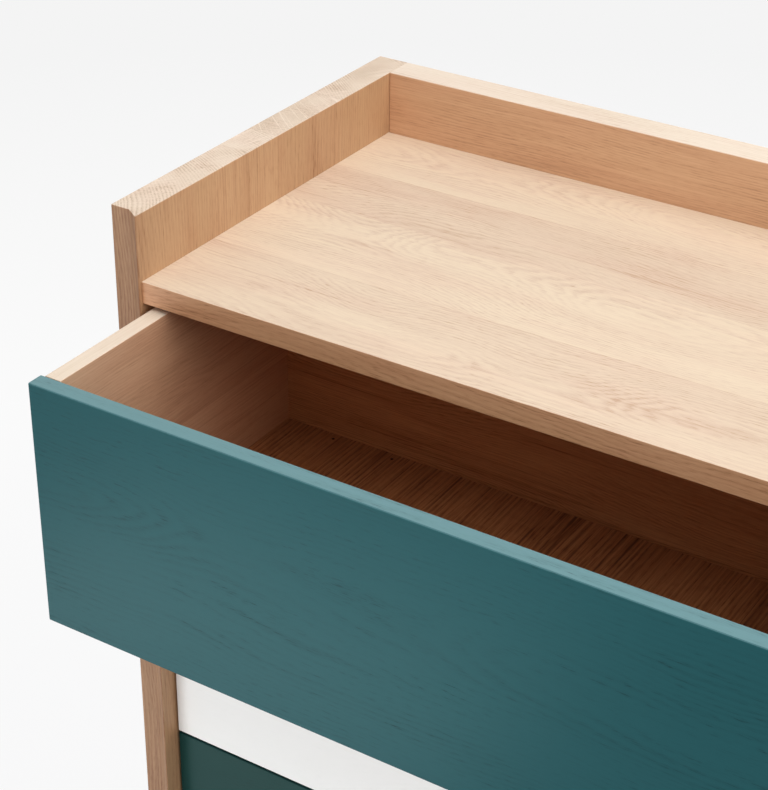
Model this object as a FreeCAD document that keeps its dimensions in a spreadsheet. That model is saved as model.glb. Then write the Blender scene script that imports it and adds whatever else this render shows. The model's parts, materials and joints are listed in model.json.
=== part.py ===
import FreeCAD, Part
import os
import re
import Sketcher

# A semainier: a tall, narrow chest with one drawer for each day of the week. Two full-height oak sides
# stand on glides and carry a top board set below their tops, so that the sides and the back rail form an
# upstand round it. Seven handleless drawers with painted fronts run on undermount slides between the
# sides. Each slide has a rail on the side and a runner under the drawer's floor.
#
# Frame: millimetres, +Z up, +Y to the back, +X to the right as seen from the front. The origin is on the
# floor, under the centre of the outline as it stands with the top drawer drawn out.
# Drawers are numbered from the top: 1 is the top drawer.

DRIVING = {
    # The carcass
    "overall_width": (700, "over both sides"),
    "side_depth": (392, "from a side's flat front edge to its back"),
    "side_thick": (30, "thickness of a side"),
    "lip_flat": (18, "width of the flat part of a side's front edge, measured from the outside"),
    "lip_reach": (8, "how far the rest slants forward, at the side's inner face"),
    "gallery_rise": (58, "from the top board's upper face to the top of the sides and the back rail"),
    "board_thick": (19, "thickness of the top board and the bottom board"),
    "board_reach": (4, "how far those boards stand forward of the sides' flat front edge"),
    "foot_height": (36, "from the floor to the underside of the bottom board"),
    "rail_thick": (31, "thickness of the back rail"),
    "rail_height": (130, "height of the back rail"),
    "rail_chamfer": (3, "small chamfer at each end of the back rail's inner face"),
    "panel_thick": (8, "thickness of the back panel"),
    "panel_lap": (12, "how far the back panel laps into its rebates"),
    "panel_play": (1, "clearance round the back panel"),
    "tie_height": (80, "height of the crossrail halfway up the back"),
    "plinth_thick": (19, "thickness of the plinth and of the crossrail"),
    "plinth_inset": (40, "from the sides' flat front edge to the plinth"),
    "glide_thick": (3, "thickness of a glide under a side"),
    "glide_radius": (12, "radius of a glide"),
    "glide_inset": (40, "from the side's front and back to a glide's centre"),
    "nail_radius": (1.5, "radius of a glide's nail"),
    "nail_length": (16, "length of a glide's nail"),
    # Pegs and screws
    "dowel_radius": (4, "radius of a dowel"),
    "dowel_length": (40, "length of a dowel, half of it in each piece"),
    "hole_play": (0.1, "clearance round a dowel, screw or nail in its hole"),
    "hole_spare": (1, "how much deeper a hole is than what it holds"),
    "screw_radius": (2.5, "radius of a slide screw"),
    "screw_length": (14, "length of a slide screw in the side"),
    "head_radius": (4.5, "radius of a slide screw's head"),
    "head_thick": (1.8, "thickness of a slide screw's head"),
    # The drawers
    "drawer_count": (7, "number of drawers"),
    "front_height": (218, "height of a drawer front"),
    "front_thick": (15, "thickness of a drawer front"),
    "front_recess": (10, "from the sides' flat front edge back to a closed front"),
    "front_gap": (2, "gap between two fronts"),
    "side_gap": (2, "gap between a front and a side"),
    "top_gap": (5, "gap over the top front and under the lowest front"),
    "edge_round": (1, "rounding of a front's edges"),
    "box_thick": (15, "thickness of a drawer's sides and back"),
    "box_gap": (6, "from a side's inner face to the drawer's side"),
    "rear_gap": (28, "from the back of a closed drawer to the back rail"),
    "box_drop": (17, "from a front's lower edge up to that of the drawer's sides"),
    "floor_recess": (13, "from the drawer sides' lower edge up to the floor's underside"),
    "floor_thick": (10, "thickness of a drawer's floor"),
    "groove_depth": (6, "depth of the groove that holds the floor"),
    "groove_play": (0.2, "clearance of the floor in its groove"),
    # The slides
    "slide_short": (8, "how much shorter a rail is than the drawer's sides"),
    "slide_setback": (4, "from a closed front's inner face to the rail's front end"),
    "steel_thick": (1.5, "thickness of the slides' sheet steel"),
    "web_rise": (4, "from a front's lower edge to the rail's underside"),
    "flange_height": (30, "height of the rail's screwed flange"),
    "runner_gap": (2, "from the inside of a drawer's side to its runner"),
    "track_width": (16, "width of the raised track"),
    "track_height": (18, "height of the raised track over the rail's underside"),
    "track_gap": (1.5, "gap between the track and the runner's legs"),
    "slider_gap": (0.3, "gap between a slider and what slides on it"),
    "leg_clear": (3.5, "gap between the rail's web and the runner's legs"),
    "runner_short": (2, "how much shorter a runner is than its rail"),
    "slider_width": (12, "width of a nylon slider"),
    "slider_length": (36, "length of a nylon slider"),
    "stop_spare": (1, "what is left between a slide's two sliders when the drawer is fully out"),
    "clip_width": (20, "width of the clip that locks a runner to the drawer"),
    "clip_length": (40, "length of that clip"),
    "clip_height": (12, "height of that clip"),
    "latch_inset": (3.5, "from the side's inner face to a push latch"),
    "latch_gap": (0.5, "from a push latch to the runner's leg"),
    "latch_length": (60, "length of a push latch"),
    "latch_height": (9, "height of a push latch"),
    "catch_width": (13, "width of the tab that meets the latch"),
    "catch_height": (5, "height of that tab"),
    "press_travel": (3, "how far a closed front can be pressed in to open its latch"),
    "press_spare": (0.3, "what is left between tab and latch when the front is pressed in"),
    "screw_rise": (20, "from the rail's underside up to its screws"),
    "screw_first": (33, "from the rail's front end to its first screw"),
    "screw_last": (43, "from the rail's last screw to its rear end"),
    # How far the top drawer stands open
    "drawn_out": (154, "distance that the top drawer is drawn out"),
}

WORKED_OUT = {
    "inner_half": ("=overall_width / 2 - side_thick", "from the middle to a side's inner face"),
    "flat_front": ("=-(side_depth + front_recess - drawn_out) / 2", "y of the sides' flat front edge"),
    "back_face": ("=flat_front + side_depth", "y of the sides' back edge"),
    "board_front": ("=flat_front - board_reach", "y of the top board's front edge"),
    "rail_face": ("=back_face - rail_thick", "y of the back rail's inner face"),
    "panel_face": ("=back_face - panel_thick", "y of the back panel's inner face"),
    "closed_face": ("=flat_front + front_recess", "y of a closed front"),
    "closed_back": ("=closed_face + front_thick", "y of a closed front's inner face"),
    "box_length": ("=rail_face - rear_gap - closed_back", "length of a drawer's sides"),
    "slide_length": ("=box_length - slide_short", "length of a rail"),
    "screw_step": ("=(slide_length - screw_first - screw_last) / 2", "from one slide screw to the next"),
    "front_pitch": ("=front_height + front_gap", "from one front to the next"),
    "foot_top": ("=foot_height + board_thick", "z of the bottom board's upper face"),
    "shelf_under": ("=foot_top + 2 * top_gap - front_gap + drawer_count * front_pitch",
                    "z of the top board's underside"),
    "shelf_top": ("=shelf_under + board_thick", "z of the top board's upper face"),
    "overall_height": ("=shelf_top + gallery_rise", "z of the top of the sides"),
    "rail_bottom": ("=overall_height - rail_height", "z of the back rail's lower edge"),
    "panel_top": ("=rail_bottom + panel_lap", "z of the back panel's rebate in the rail"),
    "tie_bottom": ("=(foot_top + rail_bottom - tie_height) / 2", "z of the crossrail's lower edge"),
    "front_width": ("=2 * (inner_half - side_gap)", "width of a drawer front"),
    "box_outer": ("=inner_half - box_gap", "from the middle to a drawer side's outer face"),
    "box_inner": ("=box_outer - box_thick", "from the middle to a drawer side's inner face"),
    "floor_under": ("=box_drop + floor_recess", "from a front's lower edge to the floor's underside"),
    "floor_top": ("=floor_under + floor_thick", "from a front's lower edge to the floor's upper face"),
    "groove_height": ("=floor_thick + groove_play", "height of the groove that holds the floor"),
    "leg_outer": ("=box_gap + box_thick + runner_gap", "from the side's inner face to the runner"),
    "track_start": ("=leg_outer + steel_thick + track_gap", "from the side's inner face to the track"),
    "track_end": ("=track_start + track_width", "from the side's inner face to the track's far side"),
    "track_top": ("=web_rise + track_height", "from a front's lower edge to the top of the track"),
    "web_top": ("=web_rise + steel_thick", "from a front's lower edge to the top of the rail's web"),
    "leg_inner": ("=track_end + track_gap + steel_thick", "from the side's inner face to the runner's end"),
    "leg_bottom": ("=web_top + leg_clear", "from a front's lower edge to the runner's legs"),
    "plate_under": ("=floor_under - steel_thick", "from a front's lower edge to under the runner's plate"),
    "runner_length": ("=slide_length - runner_short", "length of a runner"),
    "full_travel": ("=runner_length - 2 * slider_length - stop_spare", "travel from closed to fully out"),
    "latch_front": ("=closed_back + slide_setback + slide_length - latch_length", "y of a latch's front"),
    "latch_end": ("=leg_outer - latch_gap", "from the side's inner face to a latch's far side"),
}

doc = FreeCAD.newDocument("semainier")
sizes = doc.addObject("Spreadsheet::Sheet", "Sizes")
for row, (name, (content, meaning)) in enumerate({**DRIVING, **WORKED_OUT}.items(), start=1):
    sizes.set(f"A{row}", meaning)
    sizes.set(f"B{row}", str(content))
    sizes.setAlias(f"B{row}", name)
doc.recompute()

DRAWERS = range(1, DRIVING["drawer_count"][0] + 1)
HANDS = {"left": -1, "right": 1}


# How rules become expressions. A rule is a sum written with the names above, such as
# "inner_half - side_gap". Every name has an underscore, which no function or unit has.

def tied(rule):
    """The expression for a rule: each name in it reads its cell of the sheet."""
    return re.sub(r"[a-z]+(_[a-z]+)+", lambda name: "Sizes." + name.group(), str(rule))


def number(rule):
    """What a rule comes to now."""
    return float(sizes.evalExpression(tied(rule)))


def bind(thing, **rules):
    """Ties properties of thing to rules, and returns thing."""
    for name, rule in rules.items():
        thing.setExpression(name, tied(rule))
    return thing


def place(thing, x=0, y=0, z=0):
    """Ties the place of thing to rules, and returns thing."""
    for axis, rule in zip("xyz", (x, y, z)):
        thing.setExpression(f"Placement.Base.{axis}", tied(rule))
    return thing


def mirrored(hand, rule):
    """The rule for an x that is measured outwards from the middle, on one hand."""
    return f"{hand} * ({rule})"


# Solids with flat faces

def block(name, low, size):
    """A box from its low corner and its size, each three rules."""
    box = doc.addObject("Part::Box", name)
    bind(box, Length=size[0], Width=size[1], Height=size[2])
    return place(box, *low)


def outline(body, plane, corners):
    """A closed sketch of straight lines on one of the body's own planes; each corner is two rules."""
    sketch = body.newObject("Sketcher::SketchObject", f"{body.Name}_outline")
    origin_plane = next(item for item in body.Origin.OriginFeatures if item.Role == plane)
    sketch.AttachmentSupport = [(origin_plane, "")]
    sketch.MapMode = "FlatFace"
    spots = [FreeCAD.Vector(number(across), number(along), 0) for across, along in corners]
    for start, end in zip(spots, spots[1:] + spots[:1]):
        sketch.addGeometry(Part.LineSegment(start, end), False)
    for line in range(len(corners)):
        after = (line + 1) % len(corners)
        sketch.addConstraint(Sketcher.Constraint("Coincident", line, 2, after, 1))
    for line, corner in enumerate(corners):
        for kind, rule in zip(("DistanceX", "DistanceY"), corner):
            held = sketch.addConstraint(Sketcher.Constraint(kind, -1, 1, line, 1, number(rule)))
            sketch.setExpression(f"Constraints[{held}]", tied(rule))
    return sketch


def rectangle(low, high):
    """The corners of a rectangle from its low and high corner, each two rules."""
    return [low, (high[0], low[1]), high, (low[0], high[1])]


def pad(body, plane, corners, length):
    """Pads an outline: up from the XY plane, back from the XZ plane."""
    feature = body.newObject("PartDesign::Pad", f"{body.Name}_pad")
    feature.Profile = outline(body, plane, corners)
    feature.Reversed = plane == "XZ_Plane"
    return bind(feature, Length=length)


def pocket(body, plane, corners, length):
    """Cuts an outline into the body: up from the XY plane, or both ways from the YZ plane."""
    doc.recompute()
    before = body.Shape.Volume
    feature = body.newObject("PartDesign::Pocket", f"{body.Name}_pocket")
    feature.Profile = outline(body, plane, corners)
    feature.Reversed = plane == "XY_Plane"
    feature.Midplane = plane == "YZ_Plane"
    bind(feature, Length=length)
    doc.recompute()
    if not feature.Shape.Volume < before:
        raise ValueError(f"{feature.Name} cuts nothing")
    return feature


def rod(name, axis, start, radius, length):
    """A cylinder along an axis (a vector), from the centre of its first end (three rules)."""
    cylinder = bind(doc.addObject("Part::Cylinder", name), Radius=radius, Height=length)
    cylinder.Placement.Rotation = FreeCAD.Rotation(FreeCAD.Vector(0, 0, 1), axis)
    return place(cylinder, *start)


def group(name, things):
    """Separate solids that share one node."""
    compound = doc.addObject("Part::Compound", name)
    compound.Links = things
    return compound


def cut(name, base, tools):
    """The base with a list of solids taken away."""
    result = doc.addObject("Part::Cut", name)
    result.Base = base
    result.Tool = tools[0] if len(tools) == 1 else group(f"{name}_tools", tools)
    return result


ALONG_X = FreeCAD.Vector(1, 0, 0)
UPWARD = FreeCAD.Vector(0, 0, 1)


# The pegs that join boards to the sides. Each joint has its pegs at both ends, half in the side and half
# in the board. A peg's place is a pair of rules, y and z.

def board_pegs(height):
    """Four pegs, spread over a board's depth at one height."""
    depth = "(rail_face - flat_front)"
    return [(f"flat_front + {depth} * {share} / 8", height) for share in (1, 3, 5, 7)]


PEGS = {
    "top_board": board_pegs("shelf_under + board_thick / 2"),
    "bottom_board": board_pegs("foot_height + board_thick / 2"),
    "back_rail": [("rail_face + (rail_thick - panel_thick) / 2", f"rail_bottom + rail_height * {share} / 4")
                  for share in (1, 2, 3)],
    "crossrail": [("panel_face - plinth_thick / 2", f"tie_bottom + tie_height * {share} / 4")
                  for share in (1, 3)],
    "plinth": [("flat_front + plinth_inset + plinth_thick / 2", "(glide_thick + foot_height) / 2")],
}

dowels = []
peg_holes = {(joint, side): [] for joint in PEGS for side in HANDS}
for joint, spots in PEGS.items():
    for side, hand in HANDS.items():
        middle = mirrored(hand, "inner_half")
        for spot, (y, z) in enumerate(spots, start=1):
            name = f"{joint}_{side}_{spot}"
            dowels.append(rod(f"dowel_{name}", ALONG_X, (f"{middle} - dowel_length / 2", y, z),
                              "dowel_radius", "dowel_length"))
            peg_holes[joint, side].append(
                rod(f"hole_{name}", ALONG_X, (f"{middle} - dowel_length / 2 - hole_spare", y, z),
                    "dowel_radius + hole_play", "dowel_length + 2 * hole_spare"))


# The screws that hold the slides to the sides: three for each rail, through its flange

def drawer_z(drawer):
    """The rule for the lower edge of a drawer's front."""
    return f"foot_top + top_gap + (drawer_count - {drawer}) * front_pitch"


slide_front = "closed_back + slide_setback"
screws = []
screw_holes = {(drawer, side): [] for drawer in DRAWERS for side in HANDS}
for drawer in DRAWERS:
    for side, hand in HANDS.items():
        face = mirrored(hand, "inner_half")
        inwards = FreeCAD.Vector(-hand, 0, 0)
        for step in range(3):
            name = f"{side}_{drawer}_{step + 1}"
            y = f"{slide_front} + screw_first + screw_step * {step}"
            z = f"{drawer_z(drawer)} + web_rise + screw_rise"
            tip = f"{face} + {hand} * (screw_length - steel_thick)"
            shank = rod(f"shank_{name}", inwards, (tip, y, z), "screw_radius", "screw_length")
            head = rod(f"head_{name}", inwards, (f"{face} - {hand} * steel_thick", y, z),
                       "head_radius", "head_thick")
            screw = doc.addObject("Part::Fuse", f"screw_{name}")
            screw.Base, screw.Tool = shank, head
            screws.append(screw)
            screw_holes[drawer, side].append(
                rod(f"hole_{name}", inwards, (f"{tip} + {hand} * hole_spare", y, z),
                    "screw_radius + hole_play", "screw_length + 2 * hole_spare"))


# The glides: a disc and a nail under each end of each side

GLIDE_SPOTS = {"front": "flat_front + glide_inset", "rear": "back_face - glide_inset"}
glides = []
nail_holes = {side: [] for side in HANDS}
for side, hand in HANDS.items():
    x = mirrored(hand, "inner_half + side_thick / 2")
    for end, y in GLIDE_SPOTS.items():
        name = f"{side}_{end}"
        disc = rod(f"disc_{name}", UPWARD, (x, y, 0), "glide_radius", "glide_thick")
        nail = rod(f"nail_{name}", UPWARD, (x, y, "glide_thick"), "nail_radius", "nail_length")
        glide = doc.addObject("Part::Fuse", f"glide_{name}")
        glide.Base, glide.Tool = disc, nail
        glides.append(glide)
        nail_holes[side].append(rod(f"nail_hole_{name}", UPWARD, (x, y, 0), "nail_radius + hole_play",
                                    "glide_thick + nail_length + hole_spare"))


# The carcass

def side_panel(side, hand):
    """A full-height side with its slanted front lip, its rebate for the back panel and its holes."""
    panel = doc.addObject("PartDesign::Body", f"{side}_panel")
    outer = mirrored(hand, "side_thick")
    bend = mirrored(hand, "side_thick - lip_flat")
    pad(panel, "XY_Plane", [(outer, "0"), (bend, "0"), ("0", "-lip_reach"), ("0", "side_depth"),
                            (outer, "side_depth")], "overall_height - glide_thick")
    place(panel, mirrored(hand, "inner_half"), "flat_front", "glide_thick")
    rebate = rectangle(("0", "side_depth - panel_thick"), (mirrored(hand, "panel_lap"), "side_depth"))
    pocket(panel, "XY_Plane", rebate, "panel_top - glide_thick")
    holes = [hole for joint in PEGS for hole in peg_holes[joint, side]]
    holes += [hole for drawer in DRAWERS for hole in screw_holes[drawer, side]]
    return cut(f"side_{side}", panel, holes + nail_holes[side])


def end_holes(joint):
    """The peg holes at both ends of a board."""
    return peg_holes[joint, "left"] + peg_holes[joint, "right"]


def back_rail():
    """The rail behind the top board, with its chamfered ends and its rebate for the back panel."""
    rail = doc.addObject("PartDesign::Body", "rail_body")
    pad(rail, "XY_Plane", [("-inner_half", "rail_chamfer"), ("-inner_half + rail_chamfer", "0"),
                           ("inner_half - rail_chamfer", "0"), ("inner_half", "rail_chamfer"),
                           ("inner_half", "rail_thick"), ("-inner_half", "rail_thick")], "rail_height")
    place(rail, 0, "rail_face", "rail_bottom")
    rebate = rectangle(("-inner_half", "rail_thick - panel_thick"), ("inner_half", "rail_thick"))
    pocket(rail, "XY_Plane", rebate, "panel_lap")
    return cut("back_rail", rail, end_holes("back_rail"))


def cross_board(name, low_y, high_y, low_z, high_z):
    """A board from side to side with its peg holes; each edge is a rule."""
    blank = block(f"{name}_blank", ("-inner_half", low_y, low_z),
                  ("2 * inner_half", f"{high_y} - ({low_y})", f"{high_z} - ({low_z})"))
    return cut(name, blank, end_holes(name))


carcass = [side_panel(side, hand) for side, hand in HANDS.items()]
carcass += [
    cross_board("top_board", "board_front", "rail_face", "shelf_under", "shelf_top"),
    back_rail(),
    block("back_panel", ("-inner_half - panel_lap + panel_play", "panel_face", "foot_height"),
          ("2 * (inner_half + panel_lap - panel_play)", "panel_thick",
           "panel_top - panel_play - foot_height")),
    cross_board("crossrail", "panel_face - plinth_thick", "panel_face", "tie_bottom",
                "tie_bottom + tie_height"),
    cross_board("bottom_board", "board_front", "panel_face", "foot_height", "foot_top"),
    cross_board("plinth", "flat_front + plinth_inset", "flat_front + plinth_inset + plinth_thick",
                "glide_thick", "foot_height"),
    group("dowels", dowels),
    group("slide_screws", screws),
    group("glides", glides),
]


# A slide's pieces, each drawn in section from a side's inner face (x) and a front's lower edge (z)

def section(name, hand, corners, start, length, drawer):
    """A section carried back from y = start over a length, on one hand, at one drawer's height."""
    body = doc.addObject("PartDesign::Body", name)
    pad(body, "XZ_Plane", [(mirrored(-hand, across), up) for across, up in corners], length)
    return place(body, mirrored(hand, "inner_half"), start, drawer_z(drawer))


RAIL_SECTION = [
    ("0", "web_rise + flange_height"), ("steel_thick", "web_rise + flange_height"),
    ("steel_thick", "web_top"), ("track_start", "web_top"), ("track_start", "track_top"),
    ("track_end", "track_top"), ("track_end", "web_rise"), ("track_end - steel_thick", "web_rise"),
    ("track_end - steel_thick", "track_top - steel_thick"),
    ("track_start + steel_thick", "track_top - steel_thick"),
    ("track_start + steel_thick", "web_rise"), ("0", "web_rise"),
]

RUNNER_SECTION = [
    ("leg_outer", "leg_bottom"), ("leg_outer", "floor_under"), ("leg_inner", "floor_under"),
    ("leg_inner", "leg_bottom"), ("leg_inner - steel_thick", "leg_bottom"),
    ("leg_inner - steel_thick", "plate_under"), ("leg_outer + steel_thick", "plate_under"),
    ("leg_outer + steel_thick", "leg_bottom"),
]

LATCH_SECTION = rectangle(("latch_inset", "web_top"), ("latch_end", "web_top + latch_height"))
CATCH_SECTION = rectangle(("leg_outer - catch_width", "leg_bottom"),
                          ("leg_outer", "leg_bottom + catch_height"))
CLIP_SECTION = rectangle(("leg_inner", "floor_under - clip_height"),
                         ("leg_inner + clip_width", "floor_under"))
SLIDER_SIDE = "(track_start + track_end - slider_width) / 2"
SLIDER_FAR = f"{SLIDER_SIDE} + slider_width"
FRONT_SLIDER = rectangle((SLIDER_SIDE, "track_top"), (SLIDER_FAR, "plate_under - slider_gap"))
REAR_SLIDER = rectangle((SLIDER_SIDE, "track_top + slider_gap"), (SLIDER_FAR, "plate_under"))


def cabinet_rails(drawer):
    """The two rails on the sides, each with a slider at its front end and a push latch near its rear."""
    pieces = []
    for side, hand in HANDS.items():
        rail = section(f"rail_{side}_{drawer}", hand, RAIL_SECTION, slide_front, "slide_length", drawer)
        pieces.append(cut(f"drilled_rail_{side}_{drawer}", rail, screw_holes[drawer, side]))
        pieces.append(section(f"front_slider_{side}_{drawer}", hand, FRONT_SLIDER, slide_front,
                              "slider_length", drawer))
        pieces.append(section(f"latch_{side}_{drawer}", hand, LATCH_SECTION, "latch_front",
                              "latch_length", drawer))
    return group(f"cabinet_rails_{drawer}", pieces)


def runners(drawer, drawn):
    """The two runners under the floor, each with a slider at its rear end, a front clip and a latch tab."""
    start = f"{slide_front} - ({drawn})"
    catch = f"latch_front - press_travel - press_spare - steel_thick - ({drawn})"
    pieces = []
    for side, hand in HANDS.items():
        runner = section(f"runner_{side}_{drawer}", hand, RUNNER_SECTION, start, "runner_length", drawer)
        tab = section(f"catch_{side}_{drawer}", hand, CATCH_SECTION, catch, "steel_thick", drawer)
        tabbed = doc.addObject("Part::Fuse", f"tabbed_runner_{side}_{drawer}")
        tabbed.Base, tabbed.Tool = runner, tab
        pieces.append(tabbed)
        pieces.append(section(f"clip_{side}_{drawer}", hand, CLIP_SECTION, f"closed_back - ({drawn})",
                              "clip_length", drawer))
        pieces.append(section(f"rear_slider_{side}_{drawer}", hand, REAR_SLIDER,
                              f"{start} + runner_length - slider_length", "slider_length", drawer))
    return group(f"runners_{drawer}", pieces)


# A drawer: a painted front with two sides glued to its inner face, a floor in grooves cut in all three,
# and a back that stands on the floor between the sides

def drawer_front(drawer, drawn):
    """The front, rounded on every edge, with the floor's groove across its inner face."""
    front = doc.addObject("PartDesign::Body", f"front_{drawer}")
    blank = pad(front, "XZ_Plane", rectangle(("-front_width / 2", "0"), ("front_width / 2", "front_height")),
                "front_thick")
    place(front, 0, f"closed_face - ({drawn})", drawer_z(drawer))
    doc.recompute()
    rounded = front.newObject("PartDesign::Fillet", f"front_round_{drawer}")
    rounded.Base = (blank, [f"Edge{edge}" for edge in range(1, len(blank.Shape.Edges) + 1)])
    bind(rounded, Radius="edge_round")
    groove = rectangle(("front_thick - groove_depth", "floor_under"),
                       ("front_thick", "floor_under + groove_height"))
    pocket(front, "YZ_Plane", groove, "2 * (box_inner + groove_depth)")
    return front


def drawer_side(drawer, drawn, side, hand):
    """A drawer side with the floor's groove along its inner face."""
    low_x = mirrored(hand, "(box_inner + box_outer) / 2") + " - box_thick / 2"
    start = f"closed_back - ({drawn})"
    bottom = f"{drawer_z(drawer)} + box_drop"
    blank = block(f"box_{side}_blank_{drawer}", (low_x, start, bottom),
                  ("box_thick", "box_length", "front_height - box_drop"))
    deep = mirrored(hand, "box_inner + groove_depth / 2") + " - groove_depth / 2"
    groove = block(f"box_{side}_groove_{drawer}", (deep, start, f"{drawer_z(drawer)} + floor_under"),
                   ("groove_depth", "box_length", "groove_height"))
    return cut(f"box_{side}_{drawer}", blank, [groove])


def drawer_back(drawer, drawn):
    """The back, which stands on the floor between the two sides."""
    return block(f"box_back_{drawer}",
                 ("-box_inner", f"closed_back - ({drawn}) + box_length - box_thick",
                  f"{drawer_z(drawer)} + floor_top"),
                 ("2 * box_inner", "box_thick", "front_height - floor_top"))


def drawer_floor(drawer, drawn):
    """The floor, which reaches into the grooves and runs under the back."""
    reach = "groove_depth - groove_play"
    return block(f"box_floor_{drawer}",
                 (f"-box_inner - ({reach})", f"closed_back - ({drawn}) - ({reach})",
                  f"{drawer_z(drawer)} + floor_under"),
                 (f"2 * (box_inner + {reach})", f"box_length + {reach}", "floor_thick"))


drawers = []
for drawer in DRAWERS:
    drawn = "drawn_out" if drawer == 1 else "0"
    drawers.append(cabinet_rails(drawer))
    drawers.append(runners(drawer, drawn))
    drawers.append(drawer_front(drawer, drawn))
    drawers += [drawer_side(drawer, drawn, side, hand) for side, hand in HANDS.items()]
    drawers.append(drawer_back(drawer, drawn))
    drawers.append(drawer_floor(drawer, drawn))

doc.recompute()


# Check every object, then write one file for each node

failed = [item.Name for item in doc.Objects if {"Invalid", "Error"} & set(item.State)]
if failed:
    raise ValueError(f"These failed to compute: {failed}")

nodes = carcass + drawers
for node in nodes:
    if node.Shape.isNull() or not node.Shape.isValid():
        raise ValueError(f"{node.Label} has no valid shape")

os.makedirs("parts", exist_ok=True)
for node in nodes:
    node.Shape.exportStep(f"parts/{node.Label}.step")
    box = node.Shape.BoundBox
    print(f"{node.Label}: {len(node.Shape.Solids)} solids, {node.Shape.Volume / 1000:.1f} cm3, "
          f"{box.XLength:.1f} x {box.YLength:.1f} x {box.ZLength:.1f} mm")
print(f"{len(nodes)} nodes, {number('overall_height'):.0f} mm high; drawers travel "
      f"{number('full_travel'):.0f} mm")
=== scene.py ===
# %% [markdown]
# # A seven-drawer oak chest, dressed over its CAD frame
#
# The CAD model says where every board of this chest is. This lesson gives those boards the look of the
# real thing: oak that was sawn from a log, glued up, planed and oiled, and drawer fronts that were painted
# so thinly that the grain still shows.
#
# Each step is a cell. A cell of text says what a piece or finish is on the real chest, how it could be
# made, and why this way was chosen. The cell of code after it makes the piece and prints what it made.
# Lengths are in millimetres, until the last moment, when a mesh is written in metres.

# %% Load the frame
import json

import bmesh
import bpy
import numpy as np
from mathutils import Matrix, Vector

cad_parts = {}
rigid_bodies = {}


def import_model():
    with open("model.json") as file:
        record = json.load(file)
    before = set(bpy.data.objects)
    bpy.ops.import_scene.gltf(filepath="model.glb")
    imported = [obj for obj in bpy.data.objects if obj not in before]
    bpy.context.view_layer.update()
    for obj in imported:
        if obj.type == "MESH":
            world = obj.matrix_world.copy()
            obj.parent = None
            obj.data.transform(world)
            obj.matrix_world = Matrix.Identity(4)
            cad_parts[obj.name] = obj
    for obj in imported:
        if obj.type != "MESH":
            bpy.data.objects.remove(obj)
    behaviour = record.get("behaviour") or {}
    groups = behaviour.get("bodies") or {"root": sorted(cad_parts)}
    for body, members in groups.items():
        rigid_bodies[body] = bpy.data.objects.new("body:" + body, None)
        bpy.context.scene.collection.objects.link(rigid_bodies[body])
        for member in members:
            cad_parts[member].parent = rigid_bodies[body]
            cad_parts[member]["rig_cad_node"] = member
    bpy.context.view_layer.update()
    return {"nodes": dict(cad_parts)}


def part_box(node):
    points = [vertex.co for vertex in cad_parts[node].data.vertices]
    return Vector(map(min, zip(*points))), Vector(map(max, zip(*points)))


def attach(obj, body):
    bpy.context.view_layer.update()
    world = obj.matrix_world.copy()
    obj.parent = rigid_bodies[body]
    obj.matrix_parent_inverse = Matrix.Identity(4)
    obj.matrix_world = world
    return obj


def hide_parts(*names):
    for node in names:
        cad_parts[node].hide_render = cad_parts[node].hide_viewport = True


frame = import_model()
MM = 0.001

# %% [markdown]
# ## Sizes
#
# A board's place comes from its CAD node, so that the chest can be resized there and this script follows.
# Only what the CAD model leaves out is named here, such as how far sandpaper takes off a sharp edge.
# A joiner calls such an edge an arris. Left sharp, it dents and looks false; half a millimetre is usual.
# The ends of a board that is fitted between others are sanded less, and stay sharper.

# %% Read boards from the frame
ARRIS = {                   # rounding of the edges along a piece, and of the edges at its ends
    "side": (0.7, 0.56),
    "board": (0.42, 0.15),  # a board fitted between the sides
    "back_panel": (0.3, 0.25),
    "front": (1.2, 0.96),   # paint needs a rounder edge, or it runs thin there
    "box_side": (0.56, 0.3),
    "box_board": (0.4, 0.1)}


def span(node):
    """The low and high corner of a CAD node, in millimetres."""
    low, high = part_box(node)
    return np.array(low) / MM, np.array(high) / MM


def high_face(node, axis):
    """Where a CAD node ends on its side towards +X, +Y or +Z, to a thousandth of a millimetre."""
    return round(float(span(node)[1]["XYZ".index(axis)]), 3)


DRAWERS = range(1, 1 + sum(name.startswith("front_") for name in frame["nodes"]))
for node in ("side_right", "top_board", "front_1"):
    low, high = span(node)
    print(node, "measures", np.round(high - low, 1), "mm")

# %% [markdown]
# ## A board is a profile carried along a line
#
# Every piece of this chest is a board, and a board is a flat outline carried along its grain. It could be
# a cube with a Bevel modifier, but then grooves, rebates and the slanted lip of the sides need Booleans,
# which leave ragged triangles. Here the outline is worked out once, with rounded corners, and repeated at
# a few stations along the board. Where the outline changes, as where a groove stops, two stations stand at
# the same place with different outlines, and the faces between them form the step.

# %% Round an outline
ARC_STEPS = 3  # flat steps in a rounded corner


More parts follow.
